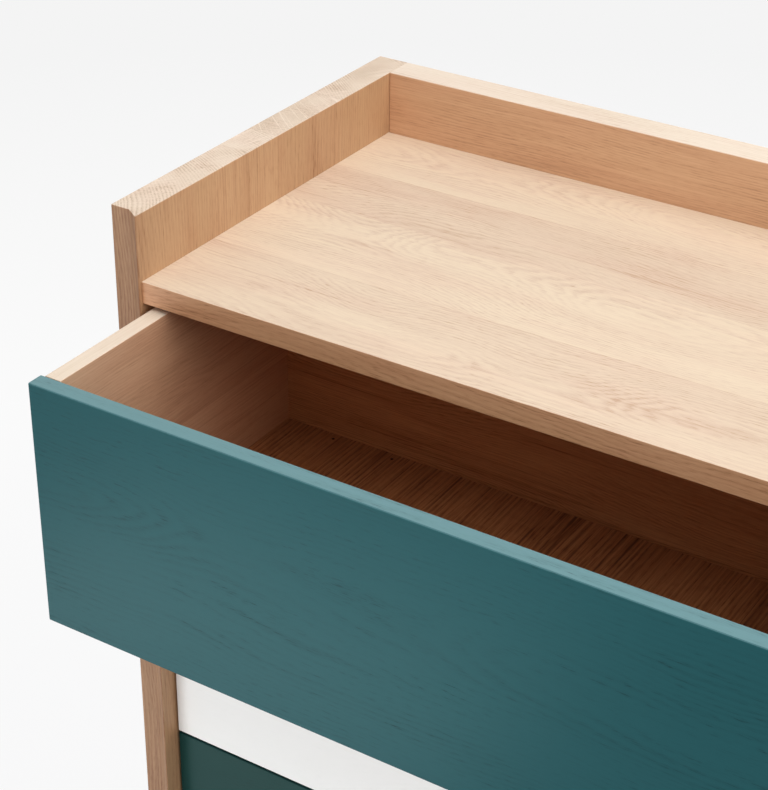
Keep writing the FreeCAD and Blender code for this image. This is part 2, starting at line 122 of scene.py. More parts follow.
def rounded(corners, radius):
    """The points of a closed outline with rounded corners, and the outward normal at each point.

    At a corner c between two edges with outward normals n1 and n2, let m be the direction half way
    between them and h half the turn. A point of the arc is c + s r (u - m / cos h), where u sweeps from
    n1 to n2, r is the radius and s is 1 at a corner that stands out, -1 at one that goes in and 0 where
    the outline runs straight on.
    """
    corners = np.asarray(corners, float)
    edge = np.roll(corners, -1, 0) - corners
    edge /= np.linalg.norm(edge, axis=1, keepdims=True)
    normal_after = np.stack([edge[:, 1], -edge[:, 0]], 1)
    normal_before = np.roll(normal_after, 1, 0)
    edge_before = np.roll(edge, 1, 0)
    turn = edge_before[:, 0] * edge[:, 1] - edge_before[:, 1] * edge[:, 0]
    middle = normal_before + normal_after
    middle /= np.linalg.norm(middle, axis=1, keepdims=True)
    half_cosine = (middle * normal_after).sum(1)[:, None, None]
    share = np.linspace(0, 1, ARC_STEPS + 1)[None, :, None]
    sweep = normal_before[:, None] * (1 - share) + normal_after[:, None] * share
    sweep /= np.linalg.norm(sweep, axis=2, keepdims=True)
    radius = np.broadcast_to(radius, len(corners))[:, None, None]
    points = (corners[:, None] + np.sign(np.round(turn, 6))[:, None, None] * radius
              * (sweep - middle[:, None] / half_cosine))
    return points.reshape(-1, 2), sweep.reshape(-1, 2)


EXAMPLE = [(0, 0), (30, 0), (30, 10), (0, 10)]
print("a 30 x 10 mm outline becomes", len(rounded(EXAMPLE, 1)[0]), "points")

# %% Carry outlines along an axis
AXES = {"X": (1, 2, 0), "Y": (2, 0, 1), "Z": (0, 1, 2)}  # where outline (a, b) and path go in x, y, z


def carry(sections, axis):
    """Rings of points in space: a grid over (station, point of the outline).

    Point j of ring i is the outline's point j, moved inwards along its normal by the section's inset,
    at the section's place on the axis. A section is (place, outline, normals, inset).
    """
    flat = np.array([outline - normals * inset for place, outline, normals, inset in sections])
    place = np.array([place for place, outline, normals, inset in sections])
    rings = np.empty(flat.shape[:2] + (3,))
    across, up, along = AXES[axis]
    rings[..., across], rings[..., up] = flat[..., 0], flat[..., 1]
    rings[..., along] = place[:, None]
    return rings


def eased(stretches, radius, ease):
    """The sections of a board whose end edges are rounded too.

    stretches holds (start, end, corners) one after the other along the path. At either end, a section at
    angle t has its inset ease (1 - sin t) and stands ease (1 - cos t) in from the end: a quarter circle.
    """
    turn = np.linspace(0, np.pi / 2, ARC_STEPS + 1)
    inset, step_in = ease * (1 - np.sin(turn)), ease * (1 - np.cos(turn))
    sections = []
    for number, (start, end, corners) in enumerate(stretches):
        outline, normals = rounded(corners, radius)
        sections += ([(start + s, outline, normals, i) for s, i in zip(step_in, inset)]
                     if number == 0 else [(start, outline, normals, 0)])
        sections += ([(end - s, outline, normals, i) for s, i in zip(step_in[::-1], inset[::-1])]
                     if number == len(stretches) - 1 else [(end, outline, normals, 0)])
    return sections


print(len(eased([(0, 100, EXAMPLE)], *ARRIS["board"])), "sections for a plain board")

# %% [markdown]
# ## From rings to a closed mesh
#
# Four neighbours of the grid make a face. The first and last ring are closed by one flat face each, so
# the solid has no hole. Where two stations coincide, most of their points fall together; merging them
# removes the faces of no area in between.

# %% Make a closed mesh
MERGE = 0.004  # points of a board that lie nearer to each other than this become one


def checked_mesh(name, points, faces, merge=0.0):
    """A mesh in metres, from points in millimetres. It stops the script if a face is broken, or if the
    signed volume isn't above zero, which means that the faces point inwards."""
    mesh = bpy.data.meshes.new(name)
    mesh.from_pydata((points * MM).tolist(), [], faces)
    work = bmesh.new()
    work.from_mesh(mesh)
    if merge:
        bmesh.ops.remove_doubles(work, verts=work.verts, dist=merge * MM)
        work.to_mesh(mesh)
    volume = work.calc_volume(signed=True)
    work.free()
    if volume <= 0 or mesh.validate():
        raise ValueError(f"{name} is inside out or broken")
    return mesh


def closed_mesh(name, rings):
    """A mesh from a grid of rings, closed at both ends.

    Face (i, j) joins points j and j + 1 of ring i to the same points of ring i + 1.
    """
    count, around = rings.shape[:2]
    i, j = np.meshgrid(np.arange(count - 1), np.arange(around), indexing="ij")
    after = (j + 1) % around
    quads = np.stack([i * around + j, i * around + after, (i + 1) * around + after,
                      (i + 1) * around + j], -1).reshape(-1, 4)
    ends = [list(range(around))[::-1], list(range((count - 1) * around, count * around))]
    return checked_mesh(name, rings.reshape(-1, 3), quads.tolist() + ends, MERGE)


example = closed_mesh("example", carry(eased([(0, 100, EXAMPLE)], *ARRIS["board"]), "X"))
print("the plain board has", len(example.polygons), "faces")
bpy.data.meshes.remove(example)

# %% [markdown]
# ## What a finish has to know
#
# A finish could be painted on each piece by hand, but then it wouldn't follow when a board is resized. So
# four facts are worked out from the mesh and kept with it. Three belong to each face. One is how much of
# the log's end it shows, because the pattern there is another one. The next is how far it looks up: upper
# faces get a paler colour, painted light for the light that falls on them, while upright faces keep the
# warmer colour of the oiled wood. The third is how far it looks forward on a side's narrow front edge, which
# gets a darker colour, painted shade. The fourth belongs to each point, and is how far back in its piece it
# lies, from 0 to 1, because the far end of a drawer gets a deeper colour, painted shade for the dark there.

# %% Put a piece into the scene
def finish_piece(mesh, body, nodes, material, grain, painted_top_light_on=False, soaked=0.0):
    """Puts a mesh into the scene as a piece of the chest, with the four facts that finishes read.

    The first fact, the square of the normal's upward part, carries painted light on upper faces where the
    piece asks for it. end_grain is the square of its part along the grain. The forward fact is its forward
    part, for painted shade on front edges. The last fact is 0 at the piece's front and 1 at its back, for
    painted shade towards the back."""
    normal = np.empty(len(mesh.polygons) * 3)
    mesh.polygons.foreach_get("normal", normal)
    normal = normal.reshape(-1, 3)
    place = np.empty(len(mesh.vertices) * 3)
    mesh.vertices.foreach_get("co", place)
    back = place.reshape(-1, 3)[:, 1]
    facts = {"painted_top_light_share": ("FACE", np.clip(normal[:, 2], 0, 1) ** 2 * painted_top_light_on),
             "end_grain": ("FACE", normal[:, "XYZ".index(grain)] ** 2),
             "soaked": ("FACE", np.clip(-normal[:, 1], 0, 1) * soaked),
             "painted_back_shade": ("POINT", (back - back.min()) / np.ptp(back))}
    for fact, (belongs_to, values) in facts.items():
        kept = mesh.attributes.new(fact, "FLOAT", belongs_to)
        kept.data.foreach_set("value", values.astype(np.float32))
    mesh.materials.append(material)
    piece = bpy.data.objects.new(mesh.name, mesh)
    bpy.context.scene.collection.objects.link(piece)
    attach(piece, body)
    if nodes:
        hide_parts(*nodes)


# %% [markdown]
# ## Colours
#
# Colours are written as a painter's chart gives them, in sRGB hex. Shaders work with linear light, so one
# function turns each value. Below 0.04045 the sRGB curve is a straight line, above it a power of 2.4.

# %% Hex to linear
def linear(colour):
    """An sRGB hex colour as linear red, green, blue and an alpha of 1."""
    value = np.array([int(colour[i:i + 2], 16) for i in (1, 3, 5)]) / 255
    value = np.where(value <= 0.04045, value / 12.92, ((value + 0.055) / 1.055) ** 2.4)
    return (*value.tolist(), 1.0)


print("mid grey #808080 is", np.round(linear("#808080")[0], 3), "in linear light")

# %% [markdown]
# ## Nodes
#
# A finish is a tree of nodes. In the Shader Editor they are placed and joined by hand, and in a script each
# takes several lines. So one function adds a node of any kind, fills its inputs and gives back its outputs,
# and a finish reads as a list of what is worked out from what.

# %% One function to add a node
ROW, NODE_WIDTH, NODE_HEIGHT = 10, 190, 320  # nodes in a row of the editor, and the room that each one has


def add(tree, kind, inputs=(), stops=None, **settings):
    """Adds a node, sets its properties, fills or links its inputs, and gives back its outputs.

    inputs is a list in the node's own order, or a dictionary by name or number. A value is written on
    the socket and another node's output is linked to it. stops fills a colour ramp.
    """
    made = tree.nodes.new("ShaderNode" + kind)
    made.location = (len(tree.nodes) % ROW * NODE_WIDTH, len(tree.nodes) // ROW * -NODE_HEIGHT)
    for key, value in settings.items():
        setattr(made, key, value)
    for key, value in inputs.items() if isinstance(inputs, dict) else enumerate(inputs):
        if isinstance(value, bpy.types.NodeSocket):
            tree.links.new(value, made.inputs[key])
        elif value is not None:
            made.inputs[key].default_value = value
    if stops:
        elements = made.color_ramp.elements
        elements[0].position, elements[-1].position = stops[0][0], stops[-1][0]
        for place, colour in stops[1:-1]:
            elements.new(place)
        for element, (place, colour) in zip(elements, stops):
            element.color = colour
    return made.outputs


def new_material(name):
    """A material with an empty node tree, and that tree."""
    material = bpy.data.materials.new(name)
    material.use_nodes = True
    tree = material.node_tree
    tree.nodes.clear()
    return material, tree


def grey(value):
    """A grey for a colour ramp that carries a number."""
    return (value, value, value, 1.0)


def blend_sum(tree, terms, start=0.0):
    """The sum of each output times its weight, from a starting value."""
    total = start
    for output, weight in terms:
        total = add(tree, "Math", [output, weight, total], operation="MULTIPLY_ADD")[0]
    return total


# %% [markdown]
# ## Oak, as the saw finds it
#
# Oak grows a ring a year, two to three millimetres wide. Each ring starts with a band of wide pores, which
# looks dark, and ends in dense, pale late wood. Rays run from the middle of the trunk outwards, as thin
# upright sheets. What a face shows depends only on how the saw met the rings: arches on a flat-sawn board,
# straight lines on a quarter-sawn one, arcs on the ends.
#
# A picture of wood on each face could not agree with itself round an edge. So the finish is a solid one:
# for each point of a board, the distance from the trunk's pith gives the ring, and every face is a cut
# through the same rings. A panel is glued up from staves, and each stave has its own pith, given as its
# place across the panel and its depth below the face. The pith wanders along the trunk, which is what
# opens the rings on a flat-sawn face into arches.
#
# Real pores are 0.3 mm wide, which is too fine to show from a metre and a half away. They are drawn as
# 0.7 mm, the finest that still shows.

# %% Real sizes of oak's pattern
RING = 1.9            # one year's growth
PORE = (0.7, 9)       # width and length of a pore's groove, drawn coarser than life
RAY = (0.9, 12, 60)   # thickness, height and length of a ray
RAY_FROM_PITH = 200   # where a ray has that thickness, since rays widen outwards
FIBRE = (1.3, 60)     # width and length of the streaks between pores
VEIN = (2.6, 170)     # width and length of the few darker streaks
CLOUD = (30, 260)     # width and length of broad changes of tone
BLUSH = (30, 130)     # width and length of the rosier patches
FAINT = (24, 120)     # width and length of the patches where rings are faint
GAP = (0.9, 14)       # width and length of the gaps in a ring's dark line
WANDER = 11           # about how far the pith strays
WANDER_OVER = (190, 280)      # distances over which it strays, across and along the trunk
RIPPLE = (13, 70, 1.6)        # width, length and height of the waves that a ring makes
FINE_RIPPLE = (3.6, 13, 0.8)  # the same for the small waves on them
SEAM = 0.6            # width of the line where two staves meet, drawn coarser than life
PITH_REACH = 600      # how far outside a panel a stave's pith may lie
PITH_DEPTH = 400      # the deepest pith
print("a 30 mm board holds about", round(30 / RING), "rings")

# %% How the pattern is drawn
YEAR = ((0.0, 1.0), (0.16, 0.85), (0.40, 0.35),  # how dark a ring is at each share of its width
        (0.64, 0.05), (0.84, 0.3), (1.0, 1.0))
GROWTH_YEARS = 9.0    # the years over which growth speeds up and slows down
GROWTH_SWING = 2.5    # how many rings that shifts the pattern by, at most
STAVE_SHIFT = 900.0   # how far apart two staves lie in the noise, at most
SAME_STAVE = 0.0005   # chance numbers that differ by less belong to one stave
DRIFT = (4.0, 8.0)    # noise swings little, so the pith's drift across and in depth is multiplied
VEINS_IN_BLUSH = 0.7  # how strongly veins gather in the rosier patches
LATE_PORES = 0.3      # how strong pores are in late wood, against early wood
# Noise goes from 0 to 1 and is mostly near 0.5. Between the first two values of it, a part of the pattern
# goes from the third number, its least strength, to the fourth.
FROM_TO = {"faint": (0.38, 0.60, 0.4, 1), "gap": (0.36, 0.60, 0.45, 1), "pore": (0.50, 0.66, 0, 1),
           "ray": (0.58, 0.70, 0, 1), "vein": (0.60, 0.78, 0, 1), "blush": (0.42, 0.62, 0, 1)}


def stave_stops(staves, seed):
    """What each stave's pattern needs, as the colour stops of a ramp across the panel.

    staves is (where the first starts, [(width, pith beside its middle, pith below the face, tone), ...]).
    A stop's red is its pith's place, as a share of the reach that piths have, and its green the pith's
    depth as a share of the deepest. Its blue is a chance number that tells staves apart, and its alpha
    the stave's tone, by chance where none is given. With them come the panel's start and width, and the
    start and width of the piths' reach.
    """
    first, boards = staves
    widths = np.array([board[0] for board in boards], float)
    starts = first + np.concatenate([[0], np.cumsum(widths)[:-1]])
    total, lowest = widths.sum(), first - PITH_REACH
    reach = total + 2 * PITH_REACH
    pith = starts + widths / 2 + np.array([board[1] for board in boards], float)
    chance = np.random.default_rng(seed).random((len(boards), 2))
    stops = [((start - first) / total,
              ((p - lowest) / reach, board[2] / PITH_DEPTH, c[0], board[3] if len(board) > 3 else c[1]))
             for start, p, board, c in zip(starts, pith, boards, chance)]
    if len(stops) == 1:
        stops.append((1.0, stops[0][1]))
    return stops, first, total, lowest, reach


example = stave_stops((0, [(60, 0, 50), (40, 0, 50)]), seed=1)
print("a panel of two staves has stops at", [float(stop[0]) for stop in example[0]])

# %% Each stave's own numbers, and its distance from its pith
def stave_nodes(tree, across, staves, seed):
    """Reads the staves' stops at each point: the stave's numbers, its tone, 1 on a seam between two
    staves, and the start and end of the piths' reach. A seam is where the numbers change within its
    width."""
    stops, first, total, lowest, reach = stave_stops(staves, seed)
    ramps = []
    for shift in (0, SEAM):
        share = add(tree, "MapRange", [across, first - shift, first - shift + total, 0, 1])[0]
        ramps.append(add(tree, "ValToRGB", [share], stops))
        ramps[-1][0].node.color_ramp.interpolation = "CONSTANT"
    stave, ahead = (add(tree, "SeparateColor", [ramp[0]]) for ramp in ramps)
    joined = add(tree, "Math", [stave[2], ahead[2], SAME_STAVE], operation="COMPARE")[0]
    seam = add(tree, "Math", [1.0, joined], operation="SUBTRACT")[0]
    return stave, ramps[0][1], seam, (lowest, lowest + reach)


def spoke_nodes(tree, along, across, deep, stave, own, face, reach, wander):
    """The distance from the stave's pith, and the angle round it.

    The spoke is (across, deep) less the pith's place, plus a drift that changes slowly along the trunk."""
    slow_along = add(tree, "Math", [along, WANDER_OVER[1]], operation="DIVIDE")[0]
    slow_across = add(tree, "Math", [across, WANDER_OVER[0]], operation="DIVIDE")[0]
    slow = add(tree, "CombineXYZ", [slow_along, slow_across, own])[0]
    drift = add(tree, "TexNoise", {"Vector": slow, "Scale": 1.0, "Detail": 1.5, "Roughness": 0.45})["Color"]
    drift = add(tree, "VectorMath", [drift, (0.5, 0.5, 0.5)], operation="SUBTRACT")[0]
    gain = (DRIFT[0] * wander, DRIFT[1] * wander, 0.0)
    drift = add(tree, "VectorMath", [drift, gain], operation="MULTIPLY")[0]
    pith_across = add(tree, "MapRange", [stave[0], 0, 1, *reach])[0]
    pith_deep = add(tree, "MapRange", [stave[1], 0, 1, face, face - PITH_DEPTH])[0]
    point = add(tree, "CombineXYZ", [across, deep, 0.0])[0]
    centre = add(tree, "CombineXYZ", [pith_across, pith_deep, 0.0])[0]
    spoke = add(tree, "VectorMath", [point, centre], operation="SUBTRACT")[0]
    spoke = add(tree, "VectorMath", [spoke, drift], operation="ADD")[0]
    distance = add(tree, "VectorMath", [spoke], operation="LENGTH")["Value"]
    parts = add(tree, "SeparateXYZ", [spoke])
    return distance, add(tree, "Math", [parts[0], parts[1]], operation="ARCTAN2")[0]


print("two staves lie up to", STAVE_SHIFT, "features of the noise apart")

# %% The pattern itself
def oak_figure(tree, grain, staves, face, seed, ring=RING, wander=WANDER, pore=PORE):
    """Nodes that give the rings, pores, rays and tones of solid oak at each point.

    grain names the object axes along the grain, across the staves and through the board, such as "XYZ".
    The piths' depths are measured from face, down the third axis. A point's ring is (distance from the
    pith + ripple) / ring width. wander is how far the pith strays.
    """
    place = add(tree, "TexCoord")["Object"]
    place = add(tree, "VectorMath", [place, (1 / MM,) * 3], operation="MULTIPLY")[0]
    split = add(tree, "SeparateXYZ", [place])
    along, across, deep = (split[axis] for axis in grain)
    stave, tone, seam, reach = stave_nodes(tree, across, staves, seed)
    own = add(tree, "Math", [stave[2], STAVE_SHIFT], operation="MULTIPLY")[0]
    distance, angle = spoke_nodes(tree, along, across, deep, stave, own, face, reach, wander)

    def streaks(width, length, detail=2.0, shift=0.0):
        """Noise drawn out along the grain, from 0 to 1. Each pattern has a shift of its own, so that no
        two of them look alike."""
        sizes = ((along, length), (across, width), (deep, width))
        stretched = [add(tree, "Math", [way, size], operation="DIVIDE")[0] for way, size in sizes]
        stretched = add(tree, "CombineXYZ", stretched)[0]
        moved = add(tree, "Math", [own, shift], operation="ADD")[0]
        moved = add(tree, "CombineXYZ", [moved, 0.37 * shift, 0.0])[0]
        moved = add(tree, "VectorMath", [stretched, moved], operation="ADD")[0]
        return add(tree, "TexNoise", {"Vector": moved, "Scale": 1.0, "Detail": detail})["Fac"]

    waves = distance
    for width, length, height in (RIPPLE, FINE_RIPPLE):
        height *= wander / WANDER
        wave = add(tree, "MapRange", [streaks(width, length, 1.0, width), 0, 1, -height, height])[0]
        waves = add(tree, "Math", [waves, wave], operation="ADD")[0]
    years = add(tree, "Math", [waves, ring], operation="DIVIDE")[0]
    growth = add(tree, "Math", [years, GROWTH_YEARS], operation="DIVIDE")[0]
    growth = add(tree, "TexNoise", {"W": growth, "Scale": 1.0, "Detail": 1.0}, noise_dimensions="1D")["Fac"]
    season = add(tree, "Math", [growth, GROWTH_SWING, years], operation="MULTIPLY_ADD")[0]
    season = add(tree, "Math", [season], operation="FRACT")[0]
    early = add(tree, "ValToRGB", [season], [(part, grey(dark)) for part, dark in YEAR])[0]
    for patch, patches in (("faint", streaks(*FAINT, 1.0, 23.0)), ("gap", streaks(*GAP, 1.0, 5.0))):
        clear = add(tree, "MapRange", [patches, *FROM_TO[patch]])[0]
        early = add(tree, "Math", [early, clear], operation="MULTIPLY")[0]

    pores = add(tree, "MapRange", [streaks(*pore), *FROM_TO["pore"]])[0]
    many = add(tree, "MapRange", [early, 0, 1, LATE_PORES, 1])[0]
    pores = add(tree, "Math", [pores, many], operation="MULTIPLY")[0]
    sheet = [add(tree, "Math", [angle, RAY_FROM_PITH / RAY[0]], operation="MULTIPLY")[0],
             add(tree, "Math", [along, RAY[1]], operation="DIVIDE")[0],
             add(tree, "Math", [distance, RAY[2]], operation="DIVIDE")[0]]
    sheet = add(tree, "CombineXYZ", sheet)[0]
    rays = add(tree, "TexNoise", {"Vector": sheet, "Scale": 1.0, "Detail": 1.0})["Fac"]
    rays = add(tree, "MapRange", [rays, *FROM_TO["ray"]])[0]
    blush = streaks(*BLUSH, 2.0, 17.0)
    veins = add(tree, "Math", [blush, 0.5], operation="SUBTRACT")[0]
    veins = add(tree, "Math", [veins, VEINS_IN_BLUSH, streaks(*VEIN, 2.0, 11.0)], operation="MULTIPLY_ADD")[0]
    veins = add(tree, "MapRange", [veins, *FROM_TO["vein"]])[0]
    return {"early": early, "pores": pores, "rays": rays, "veins": veins, "fibre": streaks(*FIBRE, 2.0, 7.0),
            "cloud": streaks(*CLOUD, 1.0, 3.0), "blush": blush, "tone": tone, "seam": seam}


# %% [markdown]
# ## Oiled oak
#
# The boards were planed, sanded to 180 grit and wiped with a matt oil, which leaves the pores open. The
# pattern's parts are added up to one number, from pale to dark, and a colour ramp turns that into wood.
# A second ramp holds paler colours for the upper faces, painted light for the light that falls on them,
# and the fact kept on each face blends the two. Oil has an index of refraction near 1.5 and lies thin on
# rough fibres, so the gloss is broad. The bump is the depth of the open pores, about a twentieth of a
# millimetre.

# %% Make oiled oak
OIL = {"IOR": 1.47, "Roughness": 0.5, "In pores": 0.65}
PORE_DEPTH = 0.06        # depth of an open pore
# End grain on upper faces gets these colours as painted light.
END_PAINTED_LIGHT = ("#E1CFBC", "#D3BEA8", "#AC9176")  # end grain in daylight, from light to dark
RAMP = (0.0, 0.45, 1.0)  # the shades at which a wood has its light, middle and dark colour
MIDDLE = -0.54           # added to the shade, so that most of it lies around the middle colour
# The last weight darkens front edges as painted shade.
CLOUD_SHADE, TONE_SHADE, SEAM_SHADE, PAINTED_FRONT_SHADE_WEIGHT = 0.5, 0.26, 0.3, 0.5  # how much each of these darkens
END_RINGS, END_RAYS, END_SHADE = 0.7, -0.6, 0.10  # what end grain adds; the rings' is a share of their own
ROSY = (1.0, 0.978, 0.982)  # what is left of red, green and blue in the rosier patches


def oiled_oak(name, grain, staves, face, seed, warm, painted_light_colours, ring=RING, wander=WANDER, rays=0.10, figure=0.36,
              fibre=0.6, veins=0.3, pores=0.3, kept=None):
    """Solid oak, wiped with matt oil. warm and pale are three hex colours each, from light to dark.
    The pale colours are painted light for upper faces. kept, where it is given, is a darker wood colour,
    painted shade at the far end of a drawer.

    The shade is the sum of each part of the pattern times its weight. figure is the rings' weight. On end
    grain the rings count for 1.7 times as much, and the rays, seen from their edges, are pale."""
    material, tree = new_material(name)
    oak = oak_figure(tree, grain, staves, face, seed, ring, wander)
    end, soaked, painted_back_shade, painted_top_light_share = (add(tree, "Attribute", attribute_name=fact)["Fac"]
                                  for fact in ("end_grain", "soaked", "painted_back_shade", "painted_top_light_share"))
    end_rings, end_rays = (add(tree, "Math", [end, oak[part]], operation="MULTIPLY")[0]
                           for part in ("early", "rays"))
    # Front edges add painted shade to the sum here.
    shade = blend_sum(tree, [(oak["early"], figure), (oak["pores"], pores), (oak["rays"], rays),
                             (oak["fibre"], fibre), (oak["cloud"], CLOUD_SHADE), (oak["tone"], TONE_SHADE),
                             (oak["veins"], veins), (oak["seam"], SEAM_SHADE),
                             (end_rings, END_RINGS * figure), (end_rays, END_RAYS), (end, END_SHADE),
                             (soaked, PAINTED_FRONT_SHADE_WEIGHT)], MIDDLE)
    # The second ramp is painted light for upper faces, the third the same for end grain, and the fourth,
    # where given, painted shade at the far end of a drawer.
    warm_wood, painted_light_wood, end_painted_light_wood, painted_back_shade_wood = (
        add(tree, "ValToRGB", [shade], [(place, linear(colour)) for place, colour in zip(RAMP, colours)])[0]
        for colours in (warm, painted_light_colours, END_PAINTED_LIGHT, kept or warm))
    if kept:
        warm_wood = add(tree, "Mix", {0: painted_back_shade, 6: warm_wood, 7: painted_back_shade_wood}, data_type="RGBA")[2]
    colour = add(tree, "Mix", {0: painted_top_light_share, 6: warm_wood, 7: painted_light_wood}, data_type="RGBA")[2]
    end_painted_top_light = add(tree, "Math", [end, painted_top_light_share], operation="MULTIPLY")[0]
    colour = add(tree, "Mix", {0: end_painted_top_light, 6: colour, 7: end_painted_light_wood}, data_type="RGBA")[2]
    rosy = add(tree, "VectorMath", [colour, ROSY], operation="MULTIPLY")[0]
    share = add(tree, "MapRange", [oak["blush"], *FROM_TO["blush"]])[0]
    colour = add(tree, "Mix", {0: share, 6: colour, 7: rosy}, data_type="RGBA")[2]
    height = blend_sum(tree, [(oak["pores"], -1.0), (oak["early"], -0.25), (oak["fibre"], 0.3),
                              (oak["seam"], -1.0)])
    bump = add(tree, "Bump", {"Strength": 0.35, "Distance": PORE_DEPTH * MM, "Height": height})[0]
    gloss = add(tree, "MapRange", [oak["pores"], 0, 1, OIL["Roughness"], OIL["In pores"]])[0]
    shader = add(tree, "BsdfPrincipled", {"Base Color": colour, "Roughness": gloss, "Normal": bump,
                                          "IOR": OIL["IOR"]})[0]
    add(tree, "OutputMaterial", [shader])
    print(name, "has", len(tree.nodes), "nodes")
    return material


# %% [markdown]
# ## Paint over oak
#
# The fronts are oak, sprayed with a satin paint in coats so thin that the pores sink in as fine grooves,
# which the paint's colour darkens as painted shade. So the paint is one colour over the same oak pattern,
# which gives it a slight change of tone, the painted shade in its grooves, and most of its relief. Satin
# paint lies smoother than oil, with a roughness near 0.3, and pigment at its surface keeps its gloss weak.
# Only the strongest rings show through it, so its pattern is coarser than the bare wood's.

# %% Make paint
PAINT = {"IOR": 1.48, "Roughness": 0.27, "Specular IOR Level": 0.2}
PAINTED_RING, PAINTED_WANDER = 4.2, 13
PAINTED_PORE = (0.85, 9)      # pores that paint has half filled, drawn coarser again so that they show
SHOWN = (0.40, 0.62, 0.15, 1)  # where the rings come through the paint, and how faint they are elsewhere
ROWS, DASHES = 0.35, 0.9      # how deep the rings' rows and the single pores are, as grooves
IN_LATE_WOOD = 0.25           # how deep a pore is outside the rows
# The darker bottom of a groove is painted shade.
PAINTED_GROOVE_SHADE = 0.45           # how bright the bottom of a groove is, against the face


def painted_oak(name, staves, face, seed, colour, painted_top_light, tone, sheen):
    """Satin paint on oak with open pores, for a front with its grain across. The colour for upper faces is
    painted light or painted shade on the top edge, tone is how dark the grooves are painted, as painted shade
    in them, and sheen is the tint of its gloss, which pigment near the surface gives."""
    material, tree = new_material(name)
    oak = oak_figure(tree, "XZY", staves, face, seed, PAINTED_RING, PAINTED_WANDER, PAINTED_PORE)
    shown = add(tree, "MapRange", [oak["cloud"], *SHOWN])[0]
    dashes = add(tree, "Math", [oak["pores"], oak["early"], IN_LATE_WOOD], operation="MULTIPLY_ADD")[0]
    dashes = add(tree, "Math", [oak["pores"], dashes], operation="MULTIPLY")[0]
    rows = add(tree, "Math", [oak["early"], shown], operation="MULTIPLY")[0]
    grooves = blend_sum(tree, [(rows, ROWS), (dashes, DASHES)])
    painted_top_light_share = add(tree, "Attribute", attribute_name="painted_top_light_share")["Fac"]
    # Upper faces take their own colour, painted light or painted shade, and the grooves are darkened as
    # painted shade.
    coat = add(tree, "Mix", {0: painted_top_light_share, 6: linear(colour), 7: linear(painted_top_light)}, data_type="RGBA")[2]
    deep = add(tree, "Math", [grooves, tone], operation="MULTIPLY")[0]
    dark = add(tree, "VectorMath", {0: coat, "Scale": PAINTED_GROOVE_SHADE}, operation="SCALE")[0]
    coat = add(tree, "Mix", {0: deep, 6: coat, 7: dark}, data_type="RGBA")[2]
    height = add(tree, "Math", [grooves, -1.0], operation="MULTIPLY")[0]
    bump = add(tree, "Bump", {"Strength": 0.5, "Distance": PORE_DEPTH * MM, "Height": height})[0]
    shader = add(tree, "BsdfPrincipled", {"Base Color": coat, "Normal": bump, "Specular Tint": linear(sheen),
                                          **PAINT})[0]
    add(tree, "OutputMaterial", [shader])
    print(name, "has", len(tree.nodes), "nodes")
    return material


# %% [markdown]
# ## Steel, nylon and beech
#
# Steel screws and slides are zinc plated, and the pins are blued, with a dark coat of oxide. Such a coat
# grows as small crystals that differ a little in gloss, so cells vary its roughness and tint. The glides
# are nylon, from a mould that sparks have eroded, which leaves an even, fine grain. The dowels are turned
# beech, bare because glue has to soak in, with short dark flecks along the grain. A flat colour would do
# for pieces this small, but it would look like plastic in a close view.

# %% Make coated steel, nylon and beech
NYLON_GRAIN = 0.4       # grain of the mould
BEECH_FLECK = (3, 0.4)  # length and width of a fleck


def coated_steel(name, colour, roughness, crystal):
    """Steel with a bright coat. crystal is the width of the coat's crystals, drawn coarser than life."""
    material, tree = new_material(name)
    place = add(tree, "TexCoord")["Object"]
    cells = add(tree, "TexVoronoi", {"Vector": place, "Scale": 1 / (crystal * MM)})["Color"]
    tint = add(tree, "SeparateColor", [cells])[0]
    gloss = add(tree, "MapRange", [tint, 0, 1, roughness - 0.06, roughness + 0.08])[0]
    dark, light = (tuple(c * s for c in linear(colour)[:3]) + (1.0,) for s in (0.9, 1.05))
    shade = add(tree, "Mix", {0: tint, 6: dark, 7: light}, data_type="RGBA")[2]
    shader = add(tree, "BsdfPrincipled", {"Base Color": shade, "Roughness": gloss, "Metallic": 1.0})[0]
    add(tree, "OutputMaterial", [shader])
    return material


def moulded_nylon(name, dark, light):
    """Nylon with the fine grain of its mould and a soft gloss."""
    material, tree = new_material(name)
    place = add(tree, "TexCoord")["Object"]
    grain = add(tree, "TexNoise", {"Vector": place, "Scale": 1 / (NYLON_GRAIN * MM), "Detail": 2.0})["Fac"]
    shade = add(tree, "Mix", {0: grain, 6: linear(dark), 7: linear(light)}, data_type="RGBA")[2]
    bump = add(tree, "Bump", {"Strength": 0.3, "Distance": 0.03 * MM, "Height": grain})[0]
    shader = add(tree, "BsdfPrincipled", {"Base Color": shade, "Roughness": 0.55, "Normal": bump,
                                          "IOR": 1.53})[0]
    add(tree, "OutputMaterial", [shader])
    return material


def bare_beech(name):
    """Turned beech: pale, pinkish, with short dark flecks along the grain."""
    material, tree = new_material(name)
    place = add(tree, "TexCoord")["Object"]
    length, width = (1 / (size * MM) for size in BEECH_FLECK)
    flecks = add(tree, "Mapping", {"Vector": place, "Scale": (length, width, width)})[0]
    fleck = add(tree, "TexNoise", {"Vector": flecks, "Scale": 1.0, "Detail": 1.0})["Fac"]
    shade = add(tree, "ValToRGB", [fleck], [(0.35, linear("#DDB98F")), (0.6, linear("#CDA276")),
                                            (0.75, linear("#A97C52"))])[0]
    shader = add(tree, "BsdfPrincipled", {"Base Color": shade, "Roughness": 0.6, "IOR": 1.5})[0]
    add(tree, "OutputMaterial", [shader])
    return material


